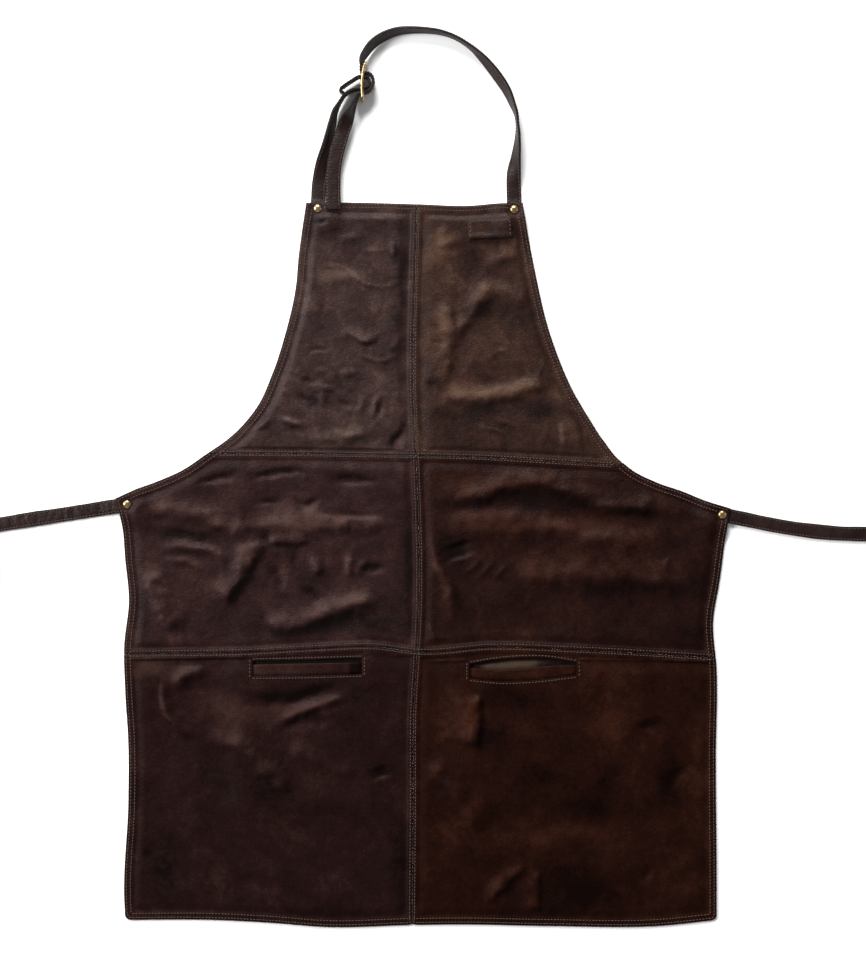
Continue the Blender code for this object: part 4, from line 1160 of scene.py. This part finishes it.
def build_tie(side):
    points = TIE_LEFT if side == "left" else TIE_RIGHT
    rows = strap_rows(points, 0.0012)
    end = rows[-1, :2]
    along = rows[-1, :2] - rows[-2, :2]
    along /= np.linalg.norm(along)
    way = -SIGN[side]
    toward = np.array([-along[1], along[0]]) * way
    centre = end + toward * ROLL_R
    turns = (ROLL_R - ROLL_END_R) / ROLL_PITCH
    start = math.atan2(*(end - centre)[::-1])
    count = int(turns * ROLL_STEPS)
    share = np.linspace(0, 1, count + 1)[1:]
    turn = start + way * 2 * math.pi * turns * share
    radius = ROLL_R - ROLL_PITCH * turns * share
    coil = np.stack([centre[0] + radius * np.cos(turn), centre[1] + radius * np.sin(turn),
                     np.full(count, ROLL_Z), np.full(count, rows[-1, 3])], axis=1)
    route = np.concatenate([rows, coil])
    far = travelled(route[:, :3])
    stations = strap_stations(route)
    strength = 1.0 if side == "left" else 0.45
    in_open = smooth((far - 0.016) / 0.01) * (1 - smooth((far - 0.14) / 0.03))
    ripple = noise(far, far * 0, 0.0055, 301) * 0.6 + noise(far, far * 0 + 1, 0.012, 303) * 0.5
    lift = in_open * (ripple * strength * 0.0007 + 0.0003)
    centre_line = stations[0] + stations[1] * lift[:, None]
    swell = 1 + 0.05 * noise(far, far * 0 + 2, 0.02, 305) * in_open
    tie = ribbon("waist_tie_strap_" + side, (centre_line, stations[1], stations[2], swell), STRAP,
                 STRAP_WIDTH / 2, STRAP_THICK / 2 * 0.92)
    wrinkle_tie(tie, strength)
    keep = (far > 0.012) & (far < 0.16)
    runs = []
    for shift in (-TIE_ROW, TIE_ROW):
        face = centre_line + stations[2] * shift + stations[1] * (STRAP_THICK / 2 * 0.86)
        runs.append((face[keep], stations[1][keep]))
    pieces = sew("tie_stitches_" + side, runs, 41 if side == "left" else 43)
    band = build_band(side, centre, toward, along)
    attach(tie, "tie_" + side)
    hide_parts("waist_tie_" + side, "waist_tie_roll_" + side)
    for piece in pieces + [band]:
        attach(piece, "tie_" + side)
    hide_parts("tie_band_" + side)


def wrinkle_tie(tie, strength):
    """Cross wrinkles pressed into the flat stretch near the apron."""
    mesh = tie.data
    co = np.zeros(len(mesh.vertices) * 3)
    mesh.vertices.foreach_get("co", co)
    co = co.reshape(-1, 3)
    flat = smooth((0.445 - np.abs(co[:, 0])) / 0.03) * smooth((np.abs(co[:, 0]) - 0.318) / 0.008)
    skew = co[:, 0] + 0.25 * co[:, 1]
    bend = noise(skew, co[:, 1] * 0.35, 0.0045, 311) * 0.00045
    bend = bend + noise(skew, co[:, 1] * 0.5, 0.010, 313) * 0.0004
    lines = creases(skew, co[:, 1] * 0.4, 0.010, 0.12, 315) * -0.0005
    top = smooth((co[:, 2] - 0.0014) / 0.001)
    co[:, 2] = np.maximum(co[:, 2] + (bend + lines) * flat * strength * top, FLOOR_GAP)
    mesh.vertices.foreach_set("co", co.ravel())
    mesh.update()


def build_band(side, centre, toward, along):
    """Small loop of leather that holds the roll together, on the roll's far side."""
    inner = ROLL_END_R - 0.0030
    outer = ROLL_R + STRAP_THICK / 2 + 0.0006
    middle = (inner + outer) / 2
    half_deep = (outer - inner) / 2
    half_high = STRAP_WIDTH / 2 + 0.0009
    far_side = np.append(toward, 0.0)
    up = np.array([0, 0, 1.0])
    mid = np.append(centre, ROLL_Z) + far_side * middle
    r = 0.0016
    loop = []
    for sx, sz, start in ((1, 1, 0), (-1, 1, 90), (-1, -1, 180), (1, -1, 270)):
        for turn in range(0, 91, 15):
            a = math.radians(start + turn)
            loop.append((sx * (half_deep - r) + r * math.cos(a), sz * (half_high - r) + r * math.sin(a),
                         math.cos(a), math.sin(a)))
    loop.append(loop[0])
    dense = even_line(loop, 0.0016)
    places = mid + far_side * dense[:, 0:1] + up * dense[:, 1:2]
    normal = unit(far_side * dense[:, 2:3] + up * dense[:, 3:4])
    across = np.tile(np.append(along, 0.0), (len(places), 1))
    return ribbon("roll_band_" + side, (places, normal, across), STRAP, 0.0040, 0.0005)


for side in ("left", "right"):
    build_tie(side)


# ---------------------------------------------------------------- panels
def panel_lines(panel):
    """The curves that bound a panel and its window, and rough values to space its grid."""
    name, side = panel.split("_")

    def inner(y):
        return centre_x(y) + SIGN[side] * SEAM_HALF_GAP

    def outer(y):
        if name == "bib":
            return armhole_x[side](np.maximum(y, 0.0250 if side == "left" else 0.0130))
        return side_x[side](np.maximum(y, SIDE_LEFT[0][1]))

    def waist_top(x):
        return np.where(np.abs(x) > abs(seam_end_x[side]), armhole_y[side](x),
                        np.minimum(upper_seam_y(x) - SEAM_HALF_GAP, armhole_y[side](x)))

    if name == "bib":
        y_lines = [lambda x: upper_seam_y(x) + SEAM_HALF_GAP, bib_top_y]
        return [outer, inner], y_lines, [float(outer(0.2)), float(inner(0.2))], [0.0250, BIB_TOP_Y]
    if name == "waist":
        y_lines = [lambda x: lower_seam_y(x) + SEAM_HALF_GAP, waist_top]
        return [outer, inner], y_lines, [float(outer(-0.1)), float(inner(-0.1))], [-0.1780, 0.0200]
    x0, x1 = POCKETS[side]["x"]

    def window(edge):
        curve = line_by_x(POCKETS[side][edge])
        return lambda x: curve(np.clip(x, x0, x1))

    near, far = (x0, x1) if side == "left" else (x1, x0)
    x_lines = [outer, lambda y: near + 0 * y, lambda y: far + 0 * y, inner]
    y_lines = [hem_y, window("low"), window("high"), lambda x: lower_seam_y(x) - SEAM_HALF_GAP]
    return (x_lines, y_lines, [float(outer(-0.3)), near, far, float(inner(-0.3))],
            [-0.4620, -0.2060, -0.1885, -0.1775])


PANEL_LEATHER = {"bib_left": BIB_LEFT, "bib_right": BIB_RIGHT, "waist_left": WAIST_LEFT,
                 "waist_right": WAIST_RIGHT, "skirt_left": SKIRT_LEFT, "skirt_right": SKIRT_RIGHT}


def build_panel(panel):
    name, side = panel.split("_")
    x_lines, y_lines, x_guess, y_guess = panel_lines(panel)
    x, y, col_span, row_span = lattice(x_lines, y_lines, x_guess, y_guess)
    keep = all_cells(x)
    if name == "skirt":
        keep[np.ix_(col_span[1:] == 1, row_span[1:] == 1)] = False
    top, thick, tone = surface(panel, x, y)
    obj = rounded_sheet(name + "_leather_" + side, x, y, top, thick, keep, PANEL_LEATHER[panel], tone)
    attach(obj, "apron")
    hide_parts(name + "_panel_" + side)


for panel in FOLDS:
    build_panel(panel)


# ---------------------------------------------------------------- stitching of the front
def inward_rows(offset, top_offset):
    """Runs at an even distance inside the outline, broken at the corners."""
    line = even_line(OUTLINE, 0.001)
    along = np.roll(line, -2, axis=0) - np.roll(line, 2, axis=0)
    along = unit(along)
    inward = np.stack([-along[:, 1], along[:, 0]], axis=1)
    deep = np.where(line[:, 1] > 0.2820, top_offset, offset)
    rows = line + inward * deep[:, None]
    away = rim_distance(rows[:, 0], rows[:, 1])
    good = away > deep * 0.96
    runs = []
    run = []
    for point, fine in zip(rows, good):
        if fine and (not run or math.dist(point, run[-1]) < 0.004):
            run.append(point)
        else:
            if len(run) > 5:
                runs.append(np.array(run))
            run = [point] if fine else []
    if len(run) > 5:
        runs.append(np.array(run))
    return runs


def panel_at(x, y):
    side = "left" if x < centre_x(y) else "right"
    if y > upper_seam_y(x):
        return "bib_" + side
    return ("waist_" if y > lower_seam_y(x) else "skirt_") + side


def split_by_panel(line):
    """Cuts a flat line where it passes from one panel to the next."""
    names = [panel_at(*point) for point in line]
    runs = []
    start = 0
    for i in range(1, len(line) + 1):
        if i == len(line) or names[i] != names[start]:
            if i - start > 3:
                runs.append((names[start], line[start:i]))
            start = i
    return runs


def clear_of_rivets(point):
    return all(math.dist(point[:2], rivet) > 0.0055 for rivet in RIVETS.values())


def sew_lines(name, lines, seed):
    """Stitch rows along flat lines on the front, left out where a rivet sits."""
    runs = []
    for line in lines:
        for panel, part in split_by_panel(even_line(line, 0.001)):
            runs.append(on_panel(panel, part))
    cleared = []
    for points, normals in runs:
        keep = np.array([clear_of_rivets(p) for p in points])
        edges = np.flatnonzero(np.diff(np.concatenate([[0], keep.astype(int), [0]])))
        for a, b in zip(edges[::2], edges[1::2]):
            if b - a > 4:
                cleared.append((points[a:b], normals[a:b]))
    for piece in sew(name, cleared, seed):
        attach(piece, "apron")


ys = np.linspace(-0.4600, 0.2820, 700)
xs_upper = np.linspace(-0.2120, 0.1960, 400)
xs_lower = np.linspace(-0.3060, 0.3000, 600)
sew_lines("hem_stitches_outer", inward_rows(HEM_ROWS[0], HEM_ROWS_TOP[0]), 51)
sew_lines("hem_stitches_inner", inward_rows(HEM_ROWS[1], HEM_ROWS_TOP[1]), 53)
for number, shift in enumerate(CENTRE_ROWS):
    sew_lines("centre_stitches_%d" % number, [np.stack([centre_x(ys) + shift, ys], axis=1)], 55 + number)
for number, shift in enumerate(UPPER_ROWS):
    sew_lines("upper_stitches_%d" % number,
              [np.stack([xs_upper, upper_seam_y(xs_upper) + shift], axis=1)], 61 + number)
for number, shift in enumerate(LOWER_ROWS):
    sew_lines("lower_stitches_%d" % number,
              [np.stack([xs_lower, lower_seam_y(xs_lower) + shift], axis=1)], 65 + number)

# ---------------------------------------------------------------- pockets
def window_grid(pocket, margin, count, shares, bottom, top):
    """Grid over a pocket's window and a margin beyond its ends, between two edges."""
    x0, x1 = pocket["x"]
    xs = np.linspace(x0 - margin, x1 + margin, count)
    x = np.tile(xs[:, None], (1, len(shares)))
    inside = np.clip(x, x0, x1)
    low = bottom(inside)
    return x, low + (top(inside) - low) * shares[None, :], inside


def build_welt(side, pocket, low, welt):
    """Folded strip that closes the lower part of the window."""
    x0, x1 = pocket["x"]
    shares = np.concatenate([np.linspace(0, 0.2, 5)[:-1], np.linspace(0.2, 0.86, 9)[:-1],
                             [0.86, 0.90, 0.94, 0.97, 0.99, 1.0]])
    x, y, inside = window_grid(pocket, 0.005, 90, shares, lambda at: low(at) - 0.0045, welt)
    deep = np.minimum(np.minimum(x - x0, x1 - x), y - low(inside))
    rise = smooth((deep + 0.0012) / 0.0045)
    sag = 0.00025 * noise(x, y, 0.009, 401) + 0.0004 * noise(x, y, 0.03, 403)
    top = FLOOR_GAP + POCKET_LIFT - 0.0004 + rise * (0.0016 + sag)
    # painted shade: darker at and under the window's edges
    tone = 0.55 - 0.4 * smooth((deep - 0.001) / -0.003) + 0.4 * noise(x, y, 0.02, 405)
    if side == "left":
        # painted shadow darkens the right end of the left welt, in the hollow; the welt also grows lighter
        # towards its left end
        tone = tone - 2.2 * smooth((x - (x1 - 0.016)) / 0.006) + 0.5 * smooth((x1 - 0.06 - x) / 0.05)
    piece = rounded_sheet("pocket_welt_leather_" + side, x, y, top, np.full(x.shape, 0.0020),
                          all_cells(x), PANEL_LEATHER["skirt_" + side], tone, lowest=0.0022)
    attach(piece, "apron")
    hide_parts("pocket_welt_" + side)


def build_facing(side, pocket, high, welt):
    """Leather on the pocket's back wall, which shows in the mouth."""
    x0, x1 = pocket["x"]
    x, y, inside = window_grid(pocket, 0.006, 80, np.linspace(0, 1, 22),
                               lambda at: -0.2110, lambda at: high(at) + 0.0030)
    arch = smooth((x - x0) / 0.02) * smooth((x1 - 0.018 - x) / 0.03)
    bulge = 0.0018 if side == "right" else 0.0002
    crown = np.exp(-((y - (welt(inside) + 0.0022)) / 0.0040) ** 2)
    top = 0.0021 + bulge * arch * crown + 0.0002 * noise(x, y, 0.012, 407)
    # painted shade at the two ends of the facing, and below, painted shadow under the window's upper edge
    tone = 1.3 * arch - 2.4 * (1 - arch) + 0.5 * noise(x, y, 0.015, 409)
    tone = tone - 2.6 * smooth((y - (high(inside) - 0.0042)) / 0.002)
    # the whole left facing is dark: painted shade in the mouth of the pocket
    if side == "left":
        tone = np.full(x.shape, -1.5)
    piece = rounded_sheet("pocket_facing_leather_" + side, x, y, top, np.full(x.shape, 0.0010),
                          all_cells(x), FACING, tone, lowest=0.0011)
    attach(piece, "apron")
    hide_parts("pocket_facing_" + side)


def build_bag(side, pocket):
    """Front and back of the cloth bag, sewn together round three sides."""
    x0, x1 = pocket["x"]
    xs = np.linspace(x0 - 0.006, x1 + 0.006, 60)
    ys_bag = np.linspace(BAG_LOW_Y, -0.2000, 66)
    x, y = np.meshgrid(xs, ys_bag, indexing="ij")
    edge = np.minimum(np.minimum(x - xs[0], xs[-1] - x), y - ys_bag[0])
    wrinkles = 0.00022 * noise(x, y, 0.012, 411) + 0.0002 * noise(x, y, 0.03, 413)
    cloth = np.full(x.shape, 0.0005)
    back = rounded_sheet("pocket_bag_back_" + side, x, y, 0.00085 + 0.00002 * wrinkles, cloth,
                         all_cells(x), CLOTH)
    front_top = 0.0014 + smooth(edge / 0.009) * (0.0011 + wrinkles)
    front = rounded_sheet("pocket_bag_front_" + side, x, y, front_top, cloth, all_cells(x), CLOTH,
                          lowest=0.0009)
    for piece in (back, front):
        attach(piece, "apron")
        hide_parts("pocket_bag_" + side)


def sew_window(side, pocket, low, high):
    """Stitching round the window."""
    xs = np.linspace(*pocket["x"], 120)
    lines = [np.stack([xs, low(xs) - 0.0021], axis=1), np.stack([xs, high(xs) + 0.0022], axis=1)]
    for x_end, out in zip(pocket["x"], (-0.0030, 0.0028)):
        y0 = float(low(x_end)) - 0.0015
        y1 = float(high(x_end)) + 0.0015
        lines.append(np.array([(x_end + out, y0 + (y1 - y0) * k / 12) for k in range(13)]))
    sew_lines("pocket_stitches_" + side, lines, 71 if side == "left" else 73)


for side, pocket in POCKETS.items():
    low, high, welt = (line_by_x(pocket[edge]) for edge in ("low", "high", "welt"))
    build_welt(side, pocket, low, welt)
    build_facing(side, pocket, high, welt)
    build_bag(side, pocket)
    sew_window(side, pocket, low, high)

# ---------------------------------------------------------------- label patch, left blank
PATCH_ROW = 0.0022          # stitch row, in from the patch's two ends
wide, tall = PATCH_SIZE
us = np.concatenate([[0, 0.004, 0.012], np.linspace(0.025, 0.975, 34), [0.988, 0.996, 1]])
vs = np.concatenate([[0, 0.008, 0.025], np.linspace(0.055, 0.945, 16), [0.975, 0.992, 1]])
u, v = np.meshgrid((us - 0.5) * wide, (vs - 0.5) * tall, indexing="ij")
corner = 0.0030
pull_u = np.clip(np.abs(u) - (wide / 2 - corner), 0, corner) / corner
pull_v = np.clip(np.abs(v) - (tall / 2 - corner), 0, corner) / corner
u = np.sign(u) * (np.minimum(np.abs(u), wide / 2 - corner) + corner * pull_u * np.sqrt(1 - pull_v ** 2 / 2))
v = np.sign(v) * (np.minimum(np.abs(v), tall / 2 - corner) + corner * pull_v * np.sqrt(1 - pull_u ** 2 / 2))
x = PATCH_AT[0] + u * math.cos(PATCH_TURN) - v * math.sin(PATCH_TURN)
y = PATCH_AT[1] + u * math.sin(PATCH_TURN) + v * math.cos(PATCH_TURN)
base = surface("bib_right", x, y)[0]
level = base.mean() + 0.4 * (base - base.mean())
lift = 0.0008 + 0.0016 * smooth(-(v + tall * 0.1) / (tall * 0.4))
rim_u = wide / 2 - np.abs(u)
pressed = 0.00030 * np.exp(-((rim_u - PATCH_ROW) / 0.0008) ** 2)
soft_top = 0.0008 * smooth(np.minimum(tall / 2 - np.abs(v), wide / 2 - np.abs(u)) / 0.003)
patch_top = np.maximum(level, base) + 0.0014 + lift + soft_top - pressed + 0.00012 * noise(x, y, 0.006, 421)
tone = -0.1 + 0.5 * noise(x, y, 0.01, 423)
patch = rounded_sheet("label_patch_leather", x, y, patch_top, np.full(x.shape, 0.0015),
                      all_cells(x), BIB_RIGHT, tone)
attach(patch, "apron")
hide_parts("label_patch")
runs = []
for end in (-1, 1):
    column = int(np.argmin(np.abs(us - (0.5 + end * (0.5 - PATCH_ROW / wide)))))
    rows = slice(4, len(vs) - 4)
    points = np.stack([x[column, rows], y[column, rows], patch_top[column, rows]], axis=1)
    runs.append((points, np.tile([0, 0, 1.0], (len(points), 1))))
for piece in sew("patch_stitches", runs, 75):
    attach(piece, "apron")


# ---------------------------------------------------------------- rivets
def lathe(name, profile, centre, material, segments=40):
    """Solid turned about Z from an (r, z) profile that starts and ends on the axis."""
    verts = [(centre[0], centre[1], profile[0][1])]
    for r, z in profile[1:-1]:
        for k in range(segments):
            a = 2 * math.pi * k / segments
            verts.append((centre[0] + r * math.cos(a), centre[1] + r * math.sin(a), z))
    verts.append((centre[0], centre[1], profile[-1][1]))
    faces = []
    rings = len(profile) - 2
    for k in range(segments):
        k2 = (k + 1) % segments
        faces.append((0, 1 + k, 1 + k2))
        for i in range(rings - 1):
            a = 1 + i * segments
            b = a + segments
            faces.append((a + k, b + k, b + k2, a + k2))
        a = 1 + (rings - 1) * segments
        faces.append((a + k, len(verts) - 1, a + k2))
    obj = new_piece(name, verts, faces, material)
    mesh_normals_out(obj)
    return obj


# cap: shares of its radius, and heights above its seat; post and back disc: radii and heights
CAP = [(0, 0.0021), (0.22, 0.00206), (0.45, 0.00192), (0.66, 0.00165), (0.82, 0.00120), (0.93, 0.00072),
       (0.99, 0.00035), (1, 0.00018), (0.97, 0.00003), (0, 0)]
DISC = [(0.0014, 0.0010), (0.0016, 0.00085), (0.0040, 0.00085), (0.0044, 0.0007), (0.0045, 0.0004),
        (0.0043, 0.00015), (0.0030, 0.00008), (0, 0.00008)]
for place, (rx, ry) in RIVETS.items():
    seat = ANCHOR_LIFT + LEATHER + 0.0001
    cap = [(share * RIVET_CAP_R, seat + rise) for share, rise in CAP]
    top = lathe("rivet_dome_" + place, cap, (rx, ry), BRASS)
    back = lathe("rivet_back_" + place, [(0, seat), (0.0014, seat)] + DISC, (rx, ry), BRASS)
    for piece, node in ((top, "rivet_cap_"), (back, "rivet_post_")):
        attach(piece, "apron")
        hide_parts(node + place)

# ---------------------------------------------------------------- neck straps
SLIDE_AT = np.array([-0.0617, 0.4103, 0.0113])
SLIDE_LEAN = math.radians(-3.8)
LONG_STRAP = [(0.0941, NECK_BEND_Y + .0006, .0003, 0), (0.0937, 0.3050, .0003, 2), (0.0939, 0.3170, .0004, 22),
              (0.0955, 0.3310, .0004, 52), (0.0970, 0.3439, .0003, 66), (0.0978, 0.3560, .0003, 78),
              (0.0974, 0.3689, .0003, 87), (0.0960, 0.3789, .0003, 84), (0.0929, 0.3872, .0003, 76),
              (0.0866, 0.4018, .0003, 65), (0.0763, 0.4174, .0003, 60), (0.0632, 0.4335, .0003, 68),
              (0.0484, 0.4475, .0003, 84), (0.0303, 0.4584, .0003, 87), (0.0151, 0.4631, .0003, 84),
              (0.0005, 0.4647, .0003, 80), (-0.0130, 0.4650, .0003, 76), (-0.0265, 0.4637, .0004, 70),
              (-0.0390, 0.4593, .0006, 63), (-0.0510, 0.4517, .0014, 62), (-0.0593, 0.4418, .0026, 67),
              (-0.0640, 0.4330, .0034, 78)]
LONG_IN_SLIDE = [(-.0040, .0170), (-.0038, .0128), (-.0033, .0103), (-.0016, .0092), (.0020, .0090),
                 (.0060, .0080), (.0088, .0050), (.0098, .0010), (.0092, -.0035), (.0070, -.0078),
                 (.0036, -.0102), (-.0005, -.0110), (-.0042, -.0128)]
TAIL_UPPER = [(-0.0700, 0.3924, .0038, 84), (-0.0744, 0.3820, .0040, 66), (-0.0790, 0.3716, .0054, 34),
              (-0.0832, 0.3607, .0068, 4)]
TAIL_FREE = [(-0.0835, 0.3599, .0069, 3), (-0.0866, 0.3500, .0070, 0), (-0.0902, 0.3370, .0066, 0),
             (-0.0928, 0.3230, .0063, 0), (-0.0936, 0.3050, .0061, 0), (-0.0931, 0.2793, .0061, 0)]
SHORT_STRAP = [(-0.1094, NECK_BEND_Y + .0006, .0003, 0), (-0.1085, 0.3050, .0003, 0),
               (-0.1068, 0.3160, .0004, -10),
               (-0.1042, 0.3290, .0005, -30), (-0.1006, 0.3430, .0005, -50), (-0.0975, 0.3560, .0008, -60),
               (-0.0943, 0.3690, .0016, -66), (-0.0916, 0.3800, .0026, -76), (-0.0870, 0.3885, .0034, -86)]
SHORT_IN_SLIDE = [(-.0184, -.0144), (-.0120, -.0098), (-.0060, -.0078), (0, -.0074), (.0036, -.0058),
                  (.0056, -.0024), (.0056, .0014), (.0036, .0044), (0, .0056), (-.0060, .0044),
                  (-.0130, -.0004), (-.0200, -.0058), (-.0232, -.0092), (-.0230, -.0122), (-.0200, -.0126)]


def in_slide(across, along, tilt):
    c, s = math.cos(SLIDE_LEAN), math.sin(SLIDE_LEAN)
    return (SLIDE_AT[0] + across * c - along * s, SLIDE_AT[1] + across * s + along * c,
            SLIDE_AT[2] - STRAP_WIDTH / 2, tilt)


def strap_piece(name, points, stitched_sides, seed, step=0.0011):
    rows = strap_rows(points, step)
    stations = strap_stations(rows)
    obj = ribbon(name, stations, STRAP, STRAP_WIDTH / 2, STRAP_THICK / 2)
    runs = []
    for face in stitched_sides:
        for shift in (-STRAP_ROW, STRAP_ROW):
            line = stations[0] + stations[2] * shift + stations[1] * (STRAP_THICK / 2 * 0.90 * face)
            runs.append((line[3:-3], stations[1][3:-3] * face))
    pieces = sew(name + "_stitches", runs, seed)
    return obj, pieces


def anchor_points(side, base):
    x, y = RIVETS["neck_" + side]
    return [(x, y - 0.0125, .0013, 0), (x, y, .0013, 0), (x, y + 0.0052, .0013, 0), base]


right_base = anchor_points("right", (LONG_STRAP[0][0], NECK_BEND_Y - .0006, .0006, 0))
left_base = anchor_points("left", (SHORT_STRAP[0][0], NECK_BEND_Y - .0006, .0006, 0))
long_route = right_base[:-1] + LONG_STRAP + [in_slide(q, p, 90) for q, p in LONG_IN_SLIDE] + TAIL_UPPER[:3]
short_route = left_base[:-1] + SHORT_STRAP + [in_slide(q, p, -90) for q, p in SHORT_IN_SLIDE]
tail_route = TAIL_UPPER[2:3] + TAIL_FREE
long_strap, long_sewn = strap_piece("neck_strap_long_leather", long_route, (1, -1), 81)
short_strap, short_sewn = strap_piece("neck_strap_short_leather", short_route, (1, -1), 85)
tail, tail_sewn = strap_piece("neck_strap_tail_leather", tail_route, (1,), 89)
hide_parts("neck_strap_long", "neck_strap_anchor_right")
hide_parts("neck_strap_short", "neck_strap_anchor_left")
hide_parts("neck_strap_tail")
for piece in [long_strap] + long_sewn + [short_strap] + short_sewn:
    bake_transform(piece)
for piece in [tail] + tail_sewn:
    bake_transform(piece)


# ---------------------------------------------------------------- slide
def build_slide():
    """Brass slide: a wire frame, bowed along its long sides, and a bar across its middle."""
    wire = 0.0017
    corner_r = 0.002
    sides = 12
    half_long = 0.0195
    half_high = 0.0111 - wire
    straight = half_long - corner_r
    c, s = math.cos(SLIDE_LEAN), math.sin(SLIDE_LEAN)

    def bow(p):
        return -0.0022 * (1 - (p / half_long) ** 2) + 0.0006

    frame_line = []
    for way in (1, -1):
        frame_line += [(bow(p), p, way * half_high) for p in np.linspace(-way * straight, way * straight, 24)]
        frame_line += [(bow(half_long), way * (straight + corner_r * math.sin(turn)),
                        way * half_high * math.cos(turn)) for turn in np.linspace(0, math.pi, 9)[1:-1]]
    bar_line = [(bow(0.0), 0.0, h) for h in np.linspace(-half_high, half_high, 12)]
    verts = []
    faces = []
    for line, closed in ((frame_line, True), (bar_line, False)):
        points = np.array([SLIDE_AT + np.array([q * c - p * s, q * s + p * c, h]) for q, p, h in line])
        if closed:
            along = unit(np.roll(points, -1, axis=0) - np.roll(points, 1, axis=0))
        else:
            along = unit(np.gradient(points, axis=0))
        first = np.array([c, s, 0.0])
        second = unit(np.cross(along, first))
        base = len(verts)
        for point, other in zip(points, second):
            for k in range(sides):
                a = 2 * math.pi * k / sides
                verts.append(point + first * math.cos(a) * wire * 0.9 + other * math.sin(a) * wire)
        faces += [tuple(base + i for i in face) for face in tube_faces(len(points), sides, closed)]
    obj = new_piece("strap_slide_brass", verts, faces, BRASS)
    mesh_normals_out(obj)
    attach(obj, "neck_loop")
    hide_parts("strap_slide")


build_slide()

low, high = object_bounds()
